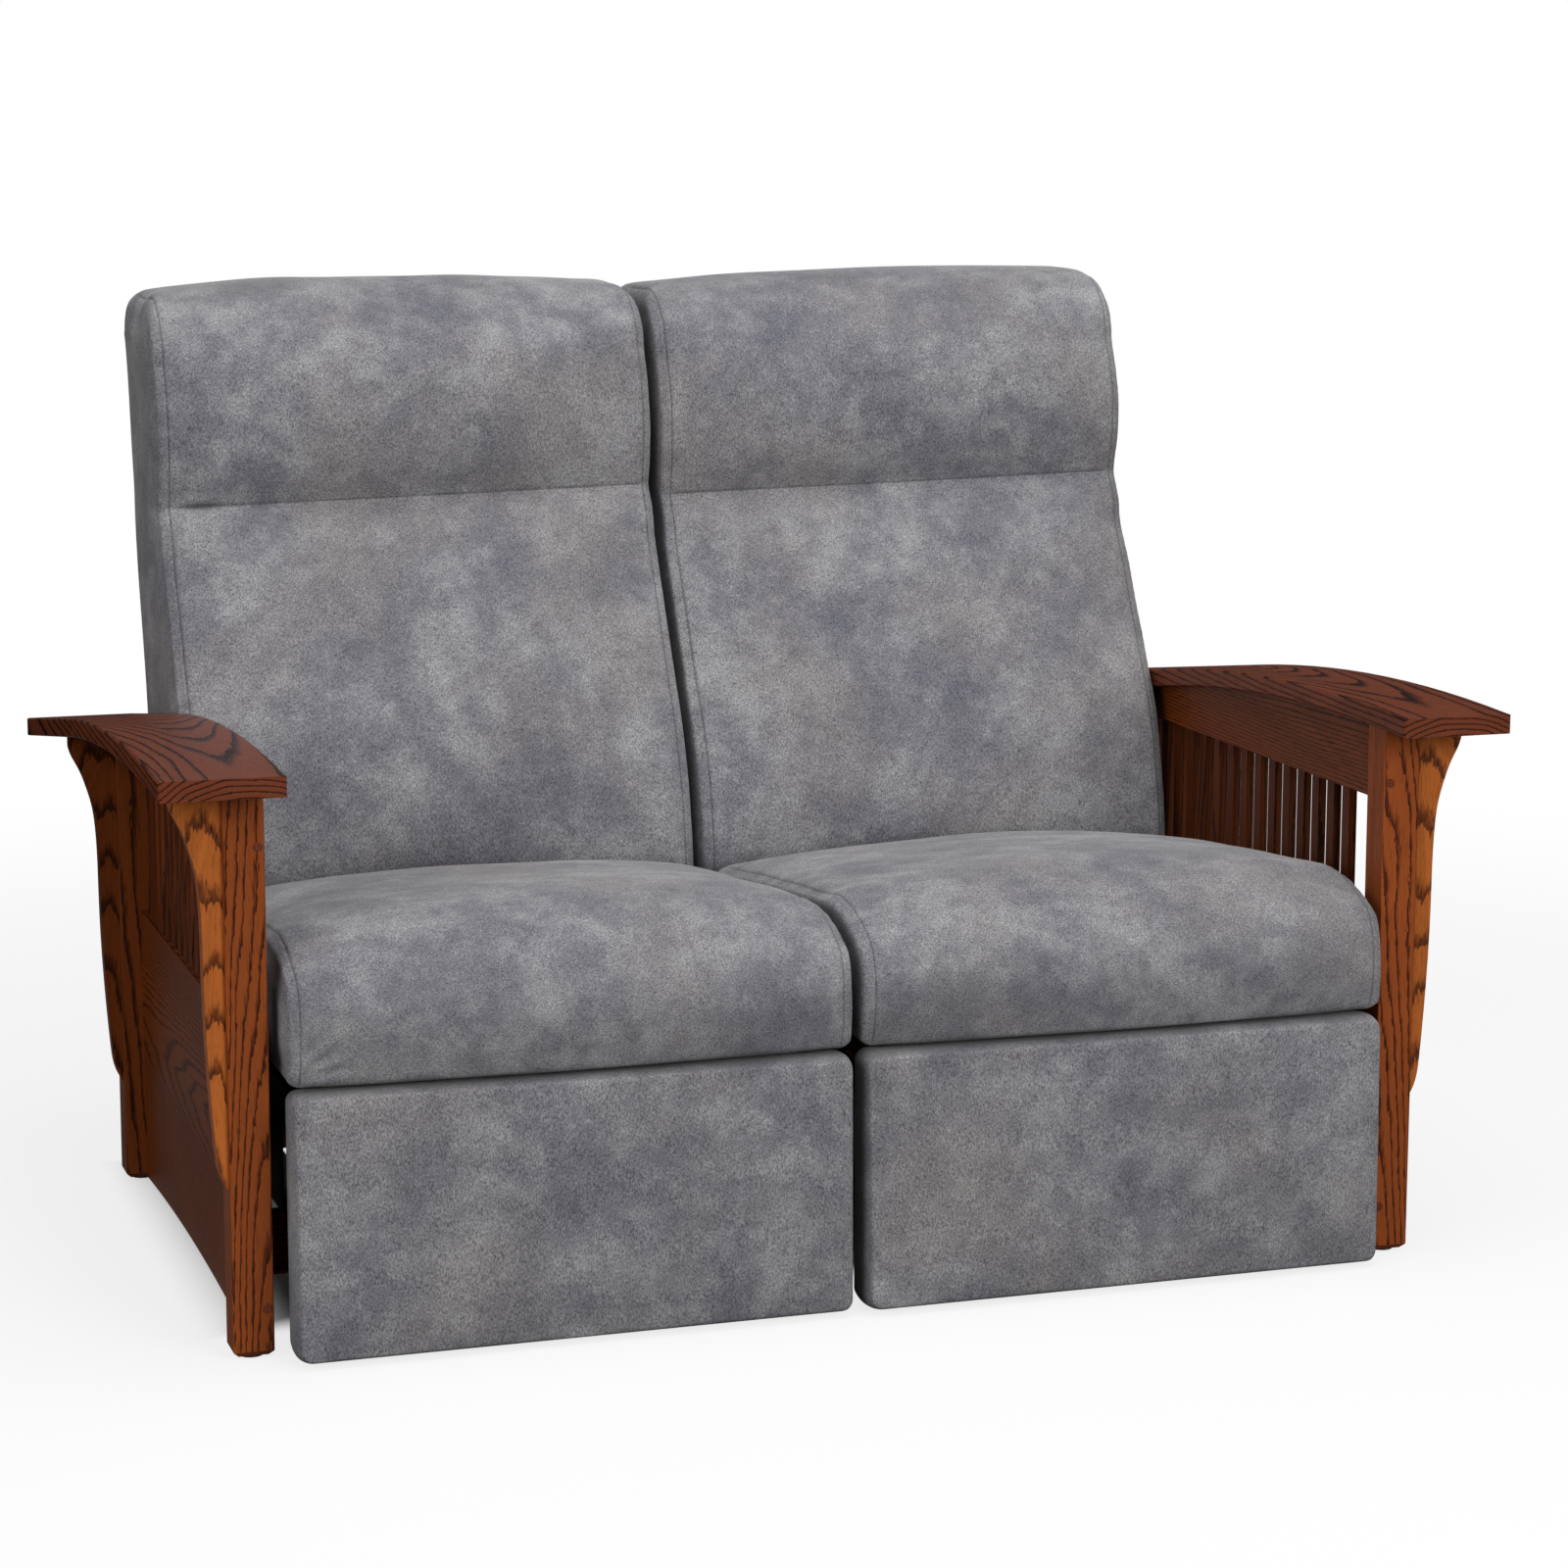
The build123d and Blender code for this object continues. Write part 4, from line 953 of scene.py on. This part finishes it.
class LOVESEAT_OT_backs(bpy.types.Operator):
    """Fills and sews the two back cushions with their head bolsters, and covers the outside backs"""

    bl_idname = "loveseat.backs"
    bl_label = "Make the Back Cushions"

    def execute(self, context):
        cushions = context.scene.loveseat_cushions
        low, high = (Vector(corner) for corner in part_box("right_back_cushion"))
        frame_low, frame_high = (Vector(corner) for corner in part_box("right_back_frame"))
        middle = (low.x + high.x) / 2
        seam_reach = SEAM_SHARE * (high.x - low.x) / 2
        lean = np.array((0, -np.cos(BACK_LEAN), -np.sin(BACK_LEAN)))
        rear_top = np.array((0, high.y, high.z))
        pocket = FRAME_DEPTH + FRAME_DEPTH_ROOM

        def depth(places):
            """How far a point lies in front of the cushion's leaning rear face."""
            return (places - rear_top) @ lean

        def in_front(places, normals):
            """Where the cloth faces the sitter or wraps over the top, and not round the frame."""
            start, end = FRONT_SHARES
            before = ease(depth(places), start * FRAME_DEPTH, end * FRAME_DEPTH)
            return before * (1 - ease(-normals[:, 2], *UNDERSIDE))

        right = cloth_skin("right_back_cloth", "right_back_cushion", cushions.voxel_size)
        places = points(right.data)
        normals = outward(right.data)
        reach = np.abs(places[:, 0] - middle)
        round_frame = (
            (reach < (frame_high.x - frame_low.x) / 2 + FRAME_ROOM)
            & (depth(places) < pocket)
            & (places[:, 2] < frame_high.z + FRAME_ROOM)
        )
        rear = 1 - ease(depth(places), REAR_START, REAR_END)
        under = ease(-normals[:, 2], *TURNED)
        at_seam = 1 - ease(np.abs(reach - seam_reach), *SEAM_HOLD)
        seam_height = high.z - HEAD_SEAM_DROP
        broad = 1 - ease(np.abs(normals[:, 0]), *BROADSIDE)
        at_head_seam = (1 - ease(np.abs(places[:, 2] - seam_height), *HEAD_SEAM_HOLD)) * broad
        free = (1 - rear) * (1 - under) * (1 - SEAM_HOLD_SHARE * at_seam)
        free *= 1 - HEAD_SEAM_HOLD_SHARE * at_head_seam
        free[round_frame] = 0
        cap = cushions.side_cap + (cushions.swell_cap - cushions.side_cap) * broad
        fill(right, free, cap)
        modify(right, "SUBSURF", levels=1)
        places = points(right.data)
        across = (places[:, 0] - low.x) / (high.x - low.x)
        beside_frame = ease(places[:, 0], high.x - SPREAD_BAND[0], high.x - SPREAD_BAND[1])
        before_frame = ease(depth(places), pocket, pocket + SPREAD_DEPTH)
        places[:, 0] += cushions.back_spread * (beside_frame + (across - beside_frame) * before_frame)
        place_points(right.data, places)
        pieces = {"right": right, "left": mirror_copy(right, "left_back_cloth")}
        for number, (side, piece) in enumerate(pieces.items()):
            way = 1 if side == "right" else -1
            centre = way * middle

            def across_panel(places, normals, centre=centre):
                """The front panel between the two side seams."""
                inside = 1 - ease(np.abs(places[:, 0] - centre), seam_reach - PANEL_EDGE, seam_reach)
                return inside * in_front(places, normals)

            seams = []
            for end in (-1, 1):
                spread = cushions.back_spread * (end + 1) / 2
                seams.append(((centre + way * (end * seam_reach + spread), 0, 0), (1, 0, 0), in_front))
            seams.append(((0, 0, seam_height), (0, 0, 1), across_panel))
            loosen(piece, in_front, BACK_WAVE, BACK_WAVE_SEED + number)
            sew(piece, seams, BACK_SEAM_SEED + number)
            left_end = centre - (high.x - low.x) / 2
            if side == "left":
                pinch = np.array((left_end + PINCH_IN, cushions.head_seam_place, seam_height))
                crease(piece, pinch, pinch + np.array(PINCH_RUN) * MM, FOLD_WIDTH, PINCH_DEPTH)
            places = points(piece.data)
            sag = np.clip(1 - (places[:, 0] - left_end) / (high.x - low.x), 0, 1)
            sag *= ease(places[:, 2], low.z + SAG_START, low.z + SAG_END)
            sag *= np.maximum(
                ease(depth(places), *SAG_DEPTH),
                ease(places[:, 2], frame_high.z + ABOVE_FRAME[0], frame_high.z + ABOVE_FRAME[1]),
            )
            places[:, 2] -= cushions.back_sag * sag
            if side == "left":
                right_end = ease(places[:, 0], left_end + HEAD_DROP_START, left_end + HEAD_DROP_END)
                head = ease(places[:, 2], frame_high.z + ABOVE_FRAME[0], high.z - HEAD_EDGE)
                places[:, 2] -= HEAD_DROP * right_end * head
            place_points(piece.data, places)
            dress(piece, f"{side}_back", f"{side}_back_cushion", suede("back"))
            paint(f"{side}_back_panel", suede("back"))
        return {"FINISHED"}


# The height of the slow waves on a footrest, and where its random draws start
PAD_WAVE = 0.5 * MM
PAD_WAVE_SEED = 51
PAD_SEAM_SEED = 61

# A footrest's cloth is meshed finer. Its front is where a face turns this far forwards, and it flares over
# its whole width and more towards its left end.
PAD_MESH_SHARE = 0.7
PAD_FRONT = (0.6, 0.95)
FLARE_SHARES = (0.35, 0.65)


class LOVESEAT_OT_footrests(bpy.types.Operator):
    """Covers the two padded footrest boards"""

    bl_idname = "loveseat.footrests"
    bl_label = "Make the Footrest Pads"

    def execute(self, context):
        cushions = context.scene.loveseat_cushions
        low, high = (Vector(corner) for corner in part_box("right_footrest_pad"))
        right = cloth_skin("right_footrest_cloth", "right_footrest_pad", cushions.voxel_size * PAD_MESH_SHARE)
        free = self.on_front(points(right.data), outward(right.data))
        fill(right, free, np.full(len(free), cushions.side_cap))
        modify(right, "SUBSURF", levels=1)
        pieces = {"right": right, "left": mirror_copy(right, "left_footrest_cloth")}
        for number, (side, piece) in enumerate(pieces.items()):
            places = points(piece.data)
            left_end = low.x if side == "right" else -high.x
            to_left = 1 - np.clip((places[:, 0] - left_end) / (high.x - low.x), 0, 1)
            to_floor = 1 - np.clip((places[:, 2] - low.z) / (high.z - low.z), 0, 1)
            to_front = np.clip((high.y - places[:, 1]) / (high.y - low.y), 0, 1)
            flare = FLARE_SHARES[0] + FLARE_SHARES[1] * to_left
            places[:, 1] -= cushions.pad_flare * to_front * to_floor * flare
            place_points(piece.data, places)
            loosen(piece, self.on_front, PAD_WAVE, PAD_WAVE_SEED + number)
            # A footrest has no seams, and its cloth still needs the seam attribute that the material reads
            # for its painted seam shade
            sew(piece, [], PAD_SEAM_SEED + number)
            dress(piece, f"{side}_footrest", f"{side}_footrest_pad", suede("back"))
        return {"FINISHED"}

    @staticmethod
    def on_front(places, normals):
        """Where the cloth faces forwards."""
        return ease(-normals[:, 1], *PAD_FRONT)


# The shade under the seats is a soft-edged box of this half width and half depth, which fades to the open
# floor between two shares of its size, and the floor is white beyond so many times the reach of its shadows
SHADE_WIDTH = 0.68
SHADE_DEPTH = 0.37
SHADE_START_SHARE = 0.86
SHADE_END_SHARE = 1.06
WHITE_FROM = 2.5

# The floor lies just under the glides, glossy finishes see the room dimmed by this share, and the lamps aim
# at the middle of the loveseat
FLOOR_DROP = 0.5 * MM
GLOSS_DIMMING = 0.8
LAMP_AIM = Vector((0, 0, 0.5))
SENSOR_WIDTH = 36


class LOVESEAT_OT_stage(bpy.types.Operator):
    """Sets up the paper floor, the soft lamps, the white room light and the camera"""

    bl_idname = "loveseat.stage"
    bl_label = "Set the Stage"

    def execute(self, context):
        stage = context.scene.loveseat_stage
        context.scene.view_settings.view_transform = "Standard"
        self.lay_floor(stage)
        self.light_room(context, stage)
        # Each lamp's power, place and width
        lamps = (
            ("key_lamp", stage.key_power, (1.3, -4.1, 1.9), 2.0),
            ("fill_lamp", stage.fill_power, (-3.4, -2.6, 1.8), 2.0),
            ("top_lamp", stage.top_power, (0.2, -0.6, 3.4), 2.4),
        )
        for name, power, place, size in lamps:
            self.hang_lamp(context, name, power, Vector(place), size)
        self.place_camera(context, stage)
        return {"FINISHED"}

    def lay_floor(self, stage):
        """A seamless white paper floor: matt and even, white to the camera, and keeping its soft shadow."""
        material, tree, place = new_material("studio_paper")
        to_camera = node(tree, "ShaderNodeLightPath", out="Is Camera Ray")
        away = node(tree, "ShaderNodeVectorMath", {"operation": "LENGTH", 0: place}, out="Value")
        whiten = node(tree, "ShaderNodeMapRange", {
            "interpolation_type": "SMOOTHSTEP", "Value": away, "From Min": stage.shadow_reach,
            "From Max": WHITE_FROM * stage.shadow_reach, "To Min": stage.floor_glow, "To Max": 1.0,
        })
        in_shade = node(tree, "ShaderNodeVectorMath", {
            "operation": "MULTIPLY", 0: place, 1: (1 / SHADE_WIDTH, 1 / SHADE_DEPTH, 0),
        })
        either_way = node(tree, "ShaderNodeVectorMath", {"operation": "ABSOLUTE", 0: in_shade})
        ways = node(tree, "ShaderNodeSeparateXYZ", {0: either_way}).node.outputs
        farther = node(tree, "ShaderNodeMath", {"operation": "MAXIMUM", 0: ways["X"], 1: ways["Y"]})
        clear = node(tree, "ShaderNodeMapRange", {
            "interpolation_type": "SMOOTHSTEP", "Value": farther,
            "From Min": SHADE_START_SHARE, "From Max": SHADE_END_SHARE,
        })
        share = node(tree, "ShaderNodeMath", {"operation": "MULTIPLY", 0: whiten, 1: clear})
        paper = node(tree, "ShaderNodeBsdfDiffuse", {"Color": rgba(stage.floor_colour)})
        glow = node(tree, "ShaderNodeEmission", {"Color": (1, 1, 1, 1), "Strength": to_camera})
        finish_material(tree, node(tree, "ShaderNodeMixShader", {0: share, 1: paper, 2: glow}))
        half = stage.floor_size / 2
        mesh = bpy.data.meshes.new("paper_floor")
        corners = [(-half, -half, 0), (half, -half, 0), (half, half, 0), (-half, half, 0)]
        mesh.from_pydata(corners, [], [(0, 1, 2, 3)])
        mesh.materials.append(material)
        floor = bpy.data.objects.new("paper_floor", mesh)
        floor.location.z = -FLOOR_DROP
        bpy.context.scene.collection.objects.link(floor)

    def light_room(self, context, stage):
        """Even light from all round, dimmed in glossy finishes; the camera sees plain white."""
        world = bpy.data.worlds.new("white_room")
        context.scene.world = world
        world.use_nodes = True
        tree = world.node_tree
        tree.nodes.clear()
        rays = node(tree, "ShaderNodeLightPath").node.outputs
        dimmed = node(tree, "ShaderNodeMath", {
            "operation": "MULTIPLY_ADD", 0: rays["Is Glossy Ray"],
            1: -GLOSS_DIMMING * stage.sky_strength, 2: stage.sky_strength,
        })
        even = node(tree, "ShaderNodeBackground", {"Color": (1, 1, 1, 1), "Strength": dimmed})
        white = node(tree, "ShaderNodeBackground", {"Color": (1, 1, 1, 1), "Strength": 1.0})
        seen = node(tree, "ShaderNodeMixShader", {0: rays["Is Camera Ray"], 1: even, 2: white})
        node(tree, "ShaderNodeOutputWorld", {"Surface": seen})

    def hang_lamp(self, context, name, power, place, size):
        """A square soft lamp aimed at the middle of the loveseat."""
        lamp = bpy.data.lights.new(name, "AREA")
        lamp.energy = power
        lamp.size = size
        hung = bpy.data.objects.new(name, lamp)
        hung.location = place
        hung.rotation_euler = (LAMP_AIM - place).to_track_quat("-Z", "Y").to_euler()
        context.scene.collection.objects.link(hung)

    def place_camera(self, context, stage):
        """The camera of the photograph, turned, tilted and rolled about its place."""
        camera = bpy.data.cameras.new("camera")
        camera.lens = stage.lens
        camera.sensor_width = SENSOR_WIDTH
        seen = bpy.data.objects.new("camera", camera)
        seen.matrix_world = (
            Matrix.Translation(stage.camera_place)
            @ Matrix.Rotation(-stage.camera_yaw, 4, "Z")
            @ Matrix.Rotation(pi / 2 + stage.camera_pitch, 4, "X")
            @ Matrix.Rotation(stage.camera_roll, 4, "Z")
        )
        context.scene.collection.objects.link(seen)
        context.scene.camera = seen


class LOVESEAT_PT_sidebar(bpy.types.Panel):
    """Lists the steps that dress the loveseat"""

    bl_idname = "LOVESEAT_PT_sidebar"
    bl_label = "Loveseat"
    bl_space_type = "VIEW_3D"
    bl_region_type = "UI"
    bl_category = "Loveseat"

    def draw(self, context):
        for operator in STEPS:
            self.layout.operator(operator.bl_idname)
        for group in GROUPS:
            settings = getattr(context.scene, group)
            box = self.layout.box()
            for name in settings.__annotations__:
                box.prop(settings, name)


GROUPS = {
    "loveseat_stage": StageSettings,
    "loveseat_oak": OakSettings,
    "loveseat_suede": SuedeSettings,
    "loveseat_cushions": CushionSettings,
}
STEPS = (
    LOVESEAT_OT_woodwork,
    LOVESEAT_OT_metalwork,
    LOVESEAT_OT_seats,
    LOVESEAT_OT_backs,
    LOVESEAT_OT_footrests,
    LOVESEAT_OT_stage,
)


def register():
    """Adds the settings, the steps and the panel to Blender."""
    for name, group in GROUPS.items():
        bpy.utils.register_class(group)
        setattr(bpy.types.Scene, name, bpy.props.PointerProperty(type=group))
    for step in (*STEPS, LOVESEAT_PT_sidebar):
        bpy.utils.register_class(step)


def unregister():
    """Takes the panel, the steps and the settings out again."""
    for step in (LOVESEAT_PT_sidebar, *reversed(STEPS)):
        bpy.utils.unregister_class(step)
    for name, group in reversed(GROUPS.items()):
        delattr(bpy.types.Scene, name)
        bpy.utils.unregister_class(group)


def main():
    """Dresses the loveseat step by step."""
    register()
    bpy.ops.loveseat.woodwork()
    bpy.ops.loveseat.metalwork()
    bpy.ops.loveseat.seats()
    bpy.ops.loveseat.backs()
    bpy.ops.loveseat.footrests()
    bpy.ops.loveseat.stage()


if __name__ == "__main__":
    main()
